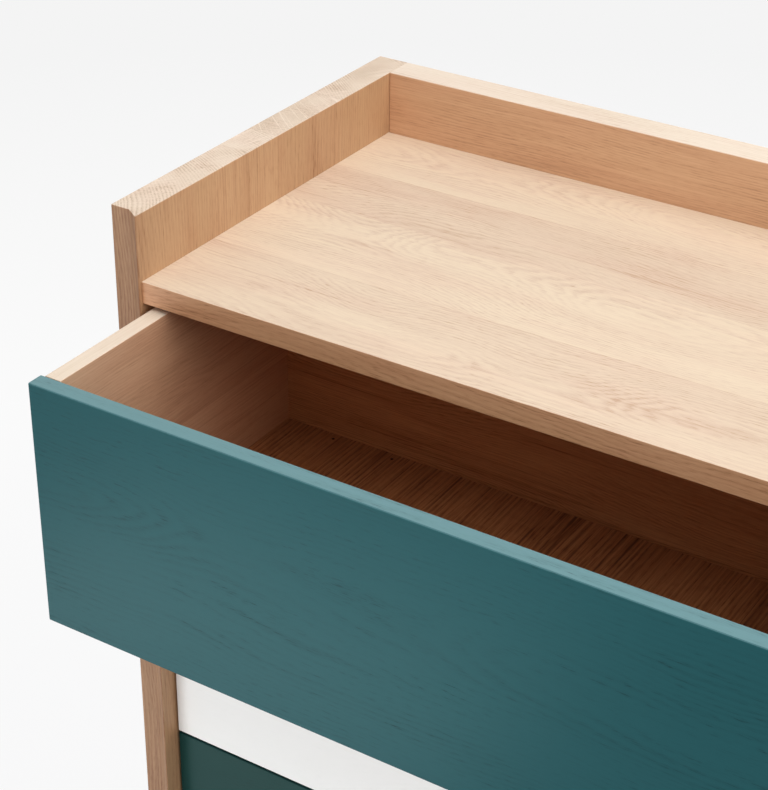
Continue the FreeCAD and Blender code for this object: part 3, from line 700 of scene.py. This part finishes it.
zinc = coated_steel("zinc plated screw steel", "#C3C6CA", 0.34, 1.5)
blued = coated_steel("blued pin steel", "#2A2523", 0.45, 0.8)
slide_zinc = coated_steel("zinc plated sheet steel", "#BABDC1", 0.38, 2.5)
nylon = moulded_nylon("moulded white nylon", "#D9D7CF", "#E2E0D8")
beech = bare_beech("bare turned beech")
print("finishes of the fittings:", ", ".join(made.name for made in (zinc, blued, slide_zinc, nylon, beech)))

# %% [markdown]
# ## The carcass in oak
#
# The sides stand with their grain upright and are glued from staves of different widths. The top board,
# the rail behind it and the bottom board have their grain from side to side. Staves could be cut at
# random, but a joiner chooses them, so each one's width and pith are written down: where the first starts,
# then for each its width, how far its pith lies beside its middle and below the face, and perhaps a tone.

# %% Colours and staves of the carcass
WARM = ("#B48A68", "#A37757", "#7C5236")
TOP_WARM = ("#CE9E77", "#BE8C65", "#936342")
SIDE_WARM = ("#BC9771", "#AC8460", "#865D3D")
RAIL_WARM = ("#D2A782", "#C69974", "#AA7E5C")
# The pale colours are painted light, for faces that look up.
PAINTED_LIGHT_TOP = ("#DCC8AE", "#D0B8A1", "#B9987C")
RAIL_PAINTED_LIGHT_TOP = ("#E4D4C2", "#DBC9B4", "#C7AD93")
SIDE_STAVES = (span("side_right")[0][1],
               [(150, -190, 150, 0.45), (42, -260, 90, 0.1), (98, 170, 230, 0.55), (110, -200, 170, 0.7)])
TOP_STAVES = (-130, [(96, -6, 46), (104, 30, 62), (78, -70, 70), (92, 12, 52)])
RAIL_STAVES = (1540, [(150, 160, 60)])
BASE_STAVES = (-140, [(120, 20, 55), (90, -50, 70), (110, 15, 60), (100, 60, 80)])
PANEL_STAVES = (-340, [(170, 12, 50), (170, -14, 58), (170, 16, 54), (170, -10, 60)])

side_finish = {side: oiled_oak(f"oiled oak {side} side", "ZYX", SIDE_STAVES, high_face(f"side_{side}", "X"),
                               seed, SIDE_WARM, PAINTED_LIGHT_TOP, ring=2.7, wander=4, pores=0.34, rays=0.16)
               for side, seed in (("left", 11), ("right", 12))}
top_finish = oiled_oak("oiled oak top board", "XYZ", TOP_STAVES, high_face("top_board", "Z"), 21,
                       TOP_WARM, PAINTED_LIGHT_TOP, ring=2.5, wander=15, figure=0.42, pores=0.42)
# The back rail's front face stands where the top board ends.
rail_finish = oiled_oak("oiled oak back rail", "XZY", RAIL_STAVES, high_face("top_board", "Y"), 31,
                        RAIL_WARM, RAIL_PAINTED_LIGHT_TOP, ring=2.3, wander=5, figure=0.4, fibre=0.9, pores=0.45)
base_finish = oiled_oak("oiled oak base boards", "XYZ", BASE_STAVES, high_face("bottom_board", "Z"), 41,
                        WARM, PAINTED_LIGHT_TOP)
panel_finish = oiled_oak("oiled oak veneer back panel", "ZXY", PANEL_STAVES, high_face("back_panel", "Y"), 51,
                         WARM, PAINTED_LIGHT_TOP)

# %% [markdown]
# ## The sides
#
# A side is a thick upright panel. Its front edge is flat on the outside and slants forward on the inside,
# as a lip beside the fronts, and its inner back edge has a rebate for the back panel. The outline is that
# section seen from above. The rebate ends at the panel's top, so a second stretch goes on without it.

# %% The two sides
LIP_FLAT = 18      # width of the flat part of a side's front edge, from the outside
LIP_REACH = 8      # how far the rest slants forward, at the inner face
REBATE = (12, 8)   # width and depth of the rebate for the back panel
PANEL_ROOM = 1     # from the back panel's top to the end of its rebate


def side_outline(hand, rebated):
    """A side seen from above, its corners anticlockwise. hand is 1 for the right side, -1 for the left."""
    low, high = span("side_right")
    inner, outer = low[0], high[0]
    front, back = low[1] + LIP_REACH, high[1]
    notch = (inner + REBATE[0], back - REBATE[1]) if rebated else (inner, back)
    corners = [(outer, front), (outer, back), (inner + REBATE[0], back), notch,
               (inner, back - REBATE[1]), (inner, front - LIP_REACH), (outer - LIP_FLAT, front)]
    return corners if hand > 0 else [(-x, y) for x, y in corners[::-1]]


rebate_top = span("back_panel")[1][2] + PANEL_ROOM
for side, hand in (("left", -1), ("right", 1)):
    low, high = span(f"side_{side}")
    stretches = [(low[2], rebate_top, side_outline(hand, True)),
                 (rebate_top, high[2], side_outline(hand, False))]
    mesh = closed_mesh(f"side_{side}_oak", carry(eased(stretches, *ARRIS["side"]), "Z"))
    # Upper faces get painted light, and the front edges painted shade.
    finish_piece(mesh, "cabinet", [f"side_{side}"], side_finish[side], "Z", painted_top_light_on=True,
                 soaked=1.0)
    print(f"side_{side}:", len(mesh.polygons), "faces")

# %% [markdown]
# ## Boards between the sides
#
# The top board, the bottom board, the plinth below it and the rail across the back are plain boards. Each
# is a rectangle carried from side to side. Only the top board gets painted light on its upper face.

# %% Boards across
def cross_section(node):
    """The corners of a plain board from side to side, seen from its end: y and z, anticlockwise."""
    low, high = span(node)
    return [(low[1], low[2]), (high[1], low[2]), (high[1], high[2]), (low[1], high[2])]


for node, finish, slot, painted_top_light in (("top_board", top_finish, "oak_top", True),
                                ("bottom_board", base_finish, "oak_top", False),
                                ("plinth", base_finish, "oak_hidden", False),
                                ("crossrail", base_finish, "oak_hidden", False)):
    low, high = span(node)
    rings = carry(eased([(low[0], high[0], cross_section(node))], *ARRIS["board"]), "X")
    mesh = closed_mesh(f"{node}_oak", rings)
    finish_piece(mesh, "cabinet", [node], finish, "X", painted_top_light_on=painted_top_light)
    print(node, len(mesh.polygons), "faces")

# %% [markdown]
# ## The back rail and the back panel
#
# The back rail closes the tray on top, level with the sides, and holds the back panel's top in a rebate.
# Its front corners are cut a little, so that it slides in between the sides without tearing them. The
# back panel is plywood with an oak face, a plain sheet that keeps the whole chest square.

# %% The back rail
RAIL_CHAMFER = 0.6  # how far its front corners are cut
low, high = span("back_rail")


def rail_outline(front):
    """The back rail seen from its end, with its rebate for the back panel: y and z, anticlockwise."""
    back, sill = high[1], low[2] + REBATE[0]
    return [(front, low[2]), (back - REBATE[1], low[2]), (back - REBATE[1], sill), (back, sill),
            (back, high[2]), (front, high[2])]


stations = [(low[0], low[1] + RAIL_CHAMFER), (low[0] + RAIL_CHAMFER, low[1]),
            (high[0] - RAIL_CHAMFER, low[1]), (high[0], low[1] + RAIL_CHAMFER)]
sections = [(x, *rounded(rail_outline(front), ARRIS["side"][0]), 0) for x, front in stations]
mesh = closed_mesh("back_rail_oak", carry(sections, "X"))
finish_piece(mesh, "cabinet", ["back_rail"], rail_finish, "X", painted_top_light_on=True)
print("back_rail:", len(mesh.polygons), "faces")

# %% The back panel
low, high = span("back_panel")
outline = [(low[0], low[1]), (high[0], low[1]), (high[0], high[1]), (low[0], high[1])]
mesh = closed_mesh("back_panel_oak", carry(eased([(low[2], high[2], outline)], *ARRIS["back_panel"]), "Z"))
finish_piece(mesh, "cabinet", ["back_panel"], panel_finish, "Z")
print("back_panel:", len(mesh.polygons), "faces")

# %% [markdown]
# ## The drawers
#
# Each drawer is a painted front with two sides glued to its inner face, a floor in grooves, and a back
# that stands on the floor. The groove in the front stops short of its ends, so that it doesn't show.
#
# Each kind of board has one finish for all drawers. Its staves run on up the chest, and their widths add
# up to the 220 mm from one drawer to the next, so that each drawer gets boards of its own. The upper
# edges of the fronts get a colour of their own: lighter on teal, as painted light, and darker on green,
# as painted shade in the gap under the white front above it.

# %% Finishes of the drawers
def drawer_staves(widths, piths, rise=0.0, tones=()):
    """Staves across all drawers at once, from a rise above the lowest front's foot: each drawer's boards
    in turn. A pith is (beside the stave's middle, below the face)."""
    boards = []
    for number in DRAWERS:
        for turn, width in enumerate(widths):
            beside = piths[(2 * number + turn) % len(piths)][0]
            below = piths[(3 * number + turn) % len(piths)][1]
            boards.append((width, beside, below, *tones[turn:turn + 1]))
    return span(f"front_{DRAWERS[-1]}")[0][2] + rise, boards


PITHS = [(14, 52), (-26, 66), (60, 44), (-8, 75), (34, 58), (-90, 60), (5, 48)]
BOX_STAVES = drawer_staves((92, 128), PITHS, 17, (0.0, 0.85))
BACK_STAVES = drawer_staves((130, 90), PITHS[::-1], 40)
FLOOR_STAVES = (-330, [(165, 420, 60), (165, -400, 40), (165, 460, 50), (165, -430, 60)])
FRONT_STAVES = drawer_staves((220,), PITHS)
DRAWER_WARM = ("#D4B192", "#C29D7E", "#977456")
# A darker, redder wood, painted shade at the far end of a drawer side.
PAINTED_BACK_SHADE_WARM = ("#BC7C52", "#A7653E", "#804828")
BACK_WARM = ("#D08C5A", "#B87546", "#91542E")
FLOOR_WARM = ("#C68858", "#A5683E", "#63381F")

box_finish = {side: oiled_oak(f"oiled oak drawer {side} sides", "YZX", BOX_STAVES,
                              high_face(f"box_{side}_1", "X"), seed, DRAWER_WARM, RAIL_PAINTED_LIGHT_TOP, wander=6,
                              figure=0.16, fibre=0.75, pores=0.16, kept=PAINTED_BACK_SHADE_WARM)
              for side, seed in (("left", 61), ("right", 62))}
back_finish = oiled_oak("oiled oak drawer backs", "XZY", BACK_STAVES, 60, 63, BACK_WARM, PAINTED_LIGHT_TOP,
                        figure=0.5, fibre=0.9, veins=0.5)
floor_finish = oiled_oak("lacquered oak veneer drawer floors", "YXZ", FLOOR_STAVES,
                         high_face("box_floor_1", "Z"), 64, FLOOR_WARM, PAINTED_LIGHT_TOP, ring=4.8, wander=7,
                         figure=0.42, fibre=1.0, veins=0.45)
# The colour for upper faces is painted light on teal and painted shade on green, whose top edge lies in the
# gap under a white front.
PAINTS = {
    "paint_teal": painted_oak("satin teal paint on oak", FRONT_STAVES, face=-240, seed=71,
                              colour="#1B4B50", painted_top_light="#66898D", tone=0.85, sheen="#9AF6FC"),
    "paint_white": painted_oak("satin white paint on oak", FRONT_STAVES, face=-90, seed=72,
                               colour="#FAFAF7", painted_top_light="#F8F8F6", tone=0.07, sheen="#FFFFFF"),
    "paint_dark_green": painted_oak("satin dark green paint on oak", FRONT_STAVES, face=-90, seed=73,
                                    colour="#0C3A38", painted_top_light="#102F2E", tone=0.5, sheen="#D4FFF6")}

# %% Outlines of the drawers' boards
GROOVE = 6           # depth of the groove for the floor
GROOVE_PLAY = 0.2    # room for the floor in its groove
GROOVE_ARRIS = 0.06  # rounding of the front's groove, which the saw leaves almost sharp
LAID_FLAT = 2        # distance between two of the groove's corners where it isn't cut


def front_outline(low, high, groove, cut):
    """A front seen from its right end: y and z, anticlockwise, with the floor's groove cut or not.

    Where it isn't cut, the groove's four corners lie on the inner face, so that both outlines have the
    same number of points."""
    bottom, top = groove
    deep, bend = (high[1] - GROOVE, 0) if cut else (high[1], LAID_FLAT)
    return [(low[1], low[2]), (high[1], low[2]), (high[1], bottom), (deep, bottom + bend),
            (deep, top - bend), (high[1], top), (high[1], high[2]), (low[1], high[2])]


def box_side_outline(low, high, hand, groove):
    """A drawer side seen from behind: z and x, anticlockwise, with its groove on the inner face."""
    inner, outer = (low[0], high[0]) if hand > 0 else (-high[0], -low[0])
    bottom, top = groove
    corners = [(low[2], inner), (bottom, inner), (bottom, inner + GROOVE), (top, inner + GROOVE),
               (top, inner), (high[2], inner), (high[2], outer), (low[2], outer)]
    return corners if hand > 0 else [(z, -x) for z, x in corners[::-1]]


radius, ease = ARRIS["front"]
FRONT_RADII = [radius] * 2 + [GROOVE_ARRIS] * 4 + [radius] * 2
print("a front's outline has", len(FRONT_RADII), "corners, four of them for its groove")

# %% Make the drawers
for number in DRAWERS:
    body = f"drawer_{number}"
    paint = list(PAINTS)[(number - 1) % len(PAINTS)]
    floor_low, floor_high = span(f"box_floor_{number}")
    groove = (floor_low[2], floor_high[2] + GROOVE_PLAY)

    low, high = span(f"front_{number}")
    plain, grooved = (front_outline(low, high, groove, cut) for cut in (False, True))
    stop = floor_high[0] + GROOVE_PLAY
    stretches = [(low[0], -stop, plain), (-stop, stop, grooved), (stop, high[0], plain)]
    mesh = closed_mesh(f"front_{number}_painted", carry(eased(stretches, FRONT_RADII, ease), "X"))
    finish_piece(mesh, body, [f"front_{number}"], PAINTS[paint], "X", painted_top_light_on=True)

    for side, hand in (("left", -1), ("right", 1)):
        node = f"box_{side}_{number}"
        low, high = span(node)
        outline = box_side_outline(low, high, hand, groove)
        mesh = closed_mesh(f"{node}_oak", carry(eased([(low[1], high[1], outline)], *ARRIS["box_side"]), "Y"))
        finish_piece(mesh, body, [node], box_finish[side], "Y", painted_top_light_on=True)

    for part, finish, slot, grain, painted_top_light in (("box_back", back_finish, "oak_drawer", "X", True),
                                           ("box_floor", floor_finish, "oak_floor", "Y", False)):
        node = f"{part}_{number}"
        low, high = span(node)
        sections = eased([(low[0], high[0], cross_section(node))], *ARRIS["box_board"])
        mesh = closed_mesh(f"{node}_oak", carry(sections, "X"))
        finish_piece(mesh, body, [node], finish, grain, painted_top_light_on=painted_top_light)
print(len(DRAWERS), "drawers made")

# %% [markdown]
# ## Screws and pins
#
# The back panel is held by pan-head screws, and each drawer's floor by panel pins in front of the
# drawer's back. A head could be a ring of points turned round, but then the edges of a screw's cross cut
# across the faces and come out ragged. So a head is a square grid whose lines run along the edges of the
# cross, and only its outer part is pressed into a round rim. One head is worked out and placed many times.

# %% Heads on a face
HEAD_AXES = {"Y": ([0, 1, 0], [-1, 0, 0], [0, 0, 1]),  # for a head that stands out along Y: out, beside, up
             "Z": ([0, 0, 1], [1, 0, 0], [0, 1, 0])}


def round_heads(name, centres, steps, square, sunk, axis, height):
    """One mesh with a closed head at each centre, standing out along an axis.

    The grid's lines stand at the steps from the middle. Let m be the greater of a point's two coordinates
    and d its distance from the middle. Its place is multiplied by 1 + t (m / d - 1), where t goes from 0
    at the edge of the square to 1 at the rim, so that the rim is a circle. The rim is carried down to a
    flat underside, sunk so far below the face."""
    line = np.concatenate([-np.array(steps[:0:-1]), steps])
    u, v = np.meshgrid(line, line, indexing="ij")
    greater, far = np.maximum(abs(u), abs(v)), np.maximum(np.hypot(u, v), 1e-9)
    pressed = 1 + np.clip((greater - square) / (steps[-1] - square), 0, 1) * (greater / far - 1)
    u, v = u * pressed, v * pressed
    top = np.stack([u, v, height(u, v)], -1).reshape(-1, 3)
    count = len(line)
    index = np.arange(count * count).reshape(count, count)
    quads = [np.stack([index[:-1, :-1], index[1:, :-1], index[1:, 1:], index[:-1, 1:]], -1).reshape(-1, 4)]
    rim = np.concatenate([index[:-1, 0], index[-1, :-1], index[:0:-1, -1], index[0, :0:-1]])
    under = top[rim] * (1, 1, 0) - (0, 0, sunk)
    low = len(top) + np.arange(len(rim))
    quads.append(np.stack([rim, low, np.roll(low, -1), np.roll(rim, -1)], -1))
    fan = np.stack([np.full(len(rim), len(top) + len(rim)), np.roll(low, -1), low], -1)
    head = np.concatenate([top, under, [[0, 0, -sunk]]])
    out, beside, up = HEAD_AXES[axis]
    head = head[:, :1] * beside + head[:, 1:2] * up + head[:, 2:] * out
    points = (np.asarray(centres, float)[:, None] + head[None]).reshape(-1, 3)
    step = np.arange(len(centres))[:, None, None] * len(head)
    faces = ((np.concatenate(quads)[None] + step).reshape(-1, 4).tolist()
             + (fan[None] + step).reshape(-1, 3).tolist())
    return checked_mesh(name, points, faces)


# %% The back panel's screws
CROSS_HALF, CROSS_ARM = 0.32, 1.8     # half the width of a screw's recess at its floor, and its reach
CROSS_DEPTH, CROSS_RISE = 1.3, 0.25   # its depth in the middle, and the share of it lost at the arms' ends
CROSS_EDGE = 0.01                     # a grid line that lies this close to the recess's edge is in it
SCREW_STEPS = (0, CROSS_HALF, 0.48, 0.9, 1.35, CROSS_ARM, 2.05, 2.5, 3.0, 3.35, 3.6)
SCREW_SQUARE, SCREW_SUNK, SCREW_DOME = 2.1, 0.8, 1.6  # half the square part, depth in the wood, height
SIDE_SCREWS = (8, 5, 30, 55)   # rows, their distance from the panel's edge, foot and top
CROSS_SCREWS = (4, 100)        # columns, and the outer ones' distance from the panel's edge
TOP_IN, FOOT_IN = 5.5, 10      # from the panel's top and foot to the screws there


def crossed(u, v):
    """The height of a pan head: a dome, less a cross whose floor rises a little towards its ends."""
    across, along = np.minimum(abs(u), abs(v)), np.maximum(abs(u), abs(v))
    cut = (across < CROSS_HALF + CROSS_EDGE) & (along < CROSS_ARM + CROSS_EDGE)
    dome = SCREW_DOME * (1 - (np.hypot(u, v) / SCREW_STEPS[-1]) ** 4)
    return dome - CROSS_DEPTH * cut * (1 - CROSS_RISE * along / CROSS_ARM)


low, high = span("back_panel")
rail_low, rail_high = span("crossrail")
row_count, edge, from_foot, from_top = SIDE_SCREWS
rows = np.linspace(low[2] + from_foot, high[2] - from_top, row_count)
columns = np.linspace(low[0] + CROSS_SCREWS[1], high[0] - CROSS_SCREWS[1], CROSS_SCREWS[0])
spots = [(x, z) for x in (low[0] + edge, high[0] - edge) for z in rows]
spots += [(x, z) for x in columns
          for z in (high[2] - TOP_IN, (rail_low[2] + rail_high[2]) / 2, low[2] + FOOT_IN)]
centres = [(x, high[1], z) for x, z in spots]
mesh = round_heads("panel_screws", centres, SCREW_STEPS, SCREW_SQUARE, SCREW_SUNK, "Y", crossed)
finish_piece(mesh, "cabinet", [], zinc, "Y")
print(len(centres), "panel screws,", len(mesh.polygons), "faces")

# %% The floors' pins
PIN_STEPS = (0, 0.45, 0.9, 1.2, 1.4)
PIN_SUNK, PIN_DOME = 0.3, 0.35         # depth in the floor, and height
PIN_PLACES = (-246, -185, 185, 246)    # across the drawer
PIN_IN_FRONT = 7.5                     # from the drawer's back


def domed(u, v):
    """The height of a pin's head: a shallow dome."""
    return PIN_DOME * (1 - (np.hypot(u, v) / PIN_STEPS[-1]) ** 2)


for number in DRAWERS:
    floor_top = span(f"box_floor_{number}")[1][2]
    back = span(f"box_back_{number}")[0][1]
    centres = [(x, back - PIN_IN_FRONT, floor_top) for x in PIN_PLACES]
    mesh = round_heads(f"floor_pins_{number}", centres, PIN_STEPS, 0, PIN_SUNK, "Z", domed)
    finish_piece(mesh, f"drawer_{number}", [], blued, "Z")
print(len(PIN_PLACES), "pins in each floor")

# %% [markdown]
# ## Fittings that stay as CAD
#
# Slides, dowels, screws and glides already have their real shape in the CAD model. They only need their
# finish, which goes into each node's material slots.

# %% Finish the CAD nodes
FITTINGS = {"dowels": beech, "slide_screws": zinc, "glides": nylon}  # all others are slides, of sheet steel
shown = [node for node in frame["nodes"].values() if not node.hide_render]
for node in shown:
    node.data.materials.clear()
    node.data.materials.append(FITTINGS.get(node["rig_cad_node"], slide_zinc))
print(len(shown), "CAD nodes finished")

# %% [markdown]
# ## Floor and backdrop
#
# The chest stands in a studio, where a roll of white paper runs down the wall and out over the floor. A
# curved sheet would show its end from some side. So the floor is flat and wide, and turns by distance into
# the even tone of the world around it, which looks the same from every side.

# %% The floor
BACKDROP = 0.905           # how bright the far end of the floor and the wall are, in linear light
FLOOR_REACH = 40.0         # metres from the middle to an edge
TONE_FADES = (1.2, 5.0)    # metres over which the floor's own light goes down to the backdrop's
SHADOW_FADES = (1.0, 2.8)  # metres over which the matt part, which holds the shadow, runs out
OWN_LIGHT = 0.76           # the share of the floor that shines with its own light under the chest


def seen_directly(tree):
    """1 for rays from the camera, gloss or glass, which show the backdrop, and 0 for those that light."""
    ray = add(tree, "LightPath")
    seen = add(tree, "Math", [ray["Is Camera Ray"], ray["Is Glossy Ray"]], operation="MAXIMUM")[0]
    return add(tree, "Math", [seen, ray["Is Transmission Ray"]], operation="MAXIMUM")[0]


def studio_floor(reach):
    """A pale floor that the camera sees as nearly white, and which keeps the chest's shadow.

    For the camera and for reflections, a share of it shines with an even tone and the rest is matt paint,
    which holds the shadow. The share grows with the distance until the floor meets the wall unseen."""
    mesh = bpy.data.meshes.new("studio_floor")
    mesh.from_pydata([(-reach, -reach, 0), (reach, -reach, 0), (reach, reach, 0), (-reach, reach, 0)], [],
                     [(0, 1, 2, 3)])
    floor = bpy.data.objects.new("studio_floor", mesh)
    bpy.context.scene.collection.objects.link(floor)
    material, tree = new_material("studio floor")
    mesh.materials.append(material)
    place = add(tree, "TexCoord")["Object"]
    far = add(tree, "VectorMath", [place], operation="LENGTH")["Value"]
    tone = add(tree, "MapRange", [far, *TONE_FADES, 1.0, BACKDROP])[0]
    seen = seen_directly(tree)
    share = add(tree, "MapRange", [far, *SHADOW_FADES, OWN_LIGHT, 1.0])[0]
    share = add(tree, "Math", [seen, share], operation="MULTIPLY")[0]
    paint = add(tree, "Mix", {0: seen, 6: linear("#EEEEF0"), 7: linear("#F2F2F4")}, data_type="RGBA")[2]
    matt = add(tree, "BsdfDiffuse", {"Color": paint})[0]
    bright = add(tree, "Emission", {"Color": tone, "Strength": 1.0})[0]
    add(tree, "OutputMaterial", [add(tree, "MixShader", [share, matt, bright])[0]])


studio_floor(FLOOR_REACH)
print("the floor is", 2 * FLOOR_REACH, "m wide")

# %% The world
AMBIENT = 0.47  # strength of the light that comes from all around
world = bpy.data.worlds.new("studio")
bpy.context.scene.world = world
world.use_nodes = True
tree = world.node_tree
tree.nodes.clear()
ambient = add(tree, "Background", {"Color": linear("#F4F5F7"), "Strength": AMBIENT})[0]
backdrop = add(tree, "Background", {"Color": (BACKDROP,) * 3 + (1.0,), "Strength": 1.0})[0]
add(tree, "OutputWorld", [add(tree, "MixShader", [seen_directly(tree), ambient, backdrop])[0]])
print("the backdrop is", round(255 * (1.055 * BACKDROP ** (1 / 2.4) - 0.055)), "of 255 in the picture")

# %% [markdown]
# ## Light and camera
#
# Large soft lamps light furniture, because small ones leave hard shadows and bright spots on the paint.
# The widest hangs overhead, like a bright sky. The right one lights the drawer's inside, and the front one
# and the fill, from the left front, keep the fronts from going dark. The low one lies on the floor at the
# left front, like a reflector, and throws its light upwards. The last one lights the back. Their power is
# kept low, because a white front soon comes out as plain white.

# %% Lamps
LAMPS = {  # place, the point that it faces, width and height, all in metres, and power in watts
    "sky_softbox": ((0.8, -0.3, 4.0), (0, 0.1, 1.4), (4.0, 2.6), 80),
    "right_softbox": ((3.3, -0.9, 2.9), (0, -0.1, 1.5), (2.4, 1.8), 44),
    "front_softbox": ((0.3, -3.9, 1.5), (0, 0, 1.2), (2.6, 2.2), 9),
    "fill_softbox": ((-1.9, -3.2, 0.9), (-0.1, 0, 1.2), (1.8, 1.1), 25),
    "low_softbox": ((-1.25, -1.82, 0.03), (-1.25, -1.82, 1.0), (1.1, 0.6), 7.8),
    "back_softbox": ((-0.6, 3.9, 1.8), (0, 0, 0.9), (3.0, 2.0), 20)}


def softbox(name, place, aim, size, power):
    """A rectangular lamp at a place, turned to face a point. Its light leaves along its own -Z."""
    lamp = bpy.data.lights.new(name, "AREA")
    lamp.shape, lamp.size, lamp.size_y = "RECTANGLE", *size
    lamp.energy = power
    box = bpy.data.objects.new(name, lamp)
    bpy.context.scene.collection.objects.link(box)
    box.location = place
    box.rotation_euler = (Vector(aim) - Vector(place)).to_track_quat("-Z", "Y").to_euler()
    box.visible_camera = False


for name, settings in LAMPS.items():
    softbox(name, *settings)
print(len(LAMPS), "lamps with", sum(settings[-1] for settings in LAMPS.values()), "W in all")

# %% The camera
EYE = (588.47, -1217.02, 2339.36)  # where the lens is
AZIMUTH, ELEVATION, ROLL = np.radians([32.05, 30.2, 0.71])
LENS, SENSOR = 91.09, 36.0         # focal length and width of the sensor


def camera_axes():
    """Right, up and backwards, as the columns of the camera's rotation.

    Backwards is (sin a cos e, -cos a cos e, sin e) for azimuth a and elevation e. Right is level, and
    both right and up are then turned by the roll."""
    back = np.array([np.sin(AZIMUTH) * np.cos(ELEVATION), -np.cos(AZIMUTH) * np.cos(ELEVATION),
                     np.sin(ELEVATION)])
    right = np.cross(-back, [0, 0, 1])
    right /= np.linalg.norm(right)
    up = np.cross(back, right)
    return np.stack([np.cos(ROLL) * right + np.sin(ROLL) * up,
                     np.cos(ROLL) * up - np.sin(ROLL) * right, back], 1)


camera = bpy.data.objects.new("camera", bpy.data.cameras.new("camera"))
bpy.context.scene.collection.objects.link(camera)
camera.data.lens, camera.data.sensor_width = LENS, SENSOR
camera.matrix_world = (Matrix.Translation(Vector(EYE) * MM)
                       @ Matrix(camera_axes().tolist()).to_4x4())
bpy.context.scene.camera = camera
bpy.context.scene.view_settings.view_transform = "Standard"
print("the camera sees", round(float(np.degrees(2 * np.arctan(SENSOR / 2 / LENS))), 1), "degrees")
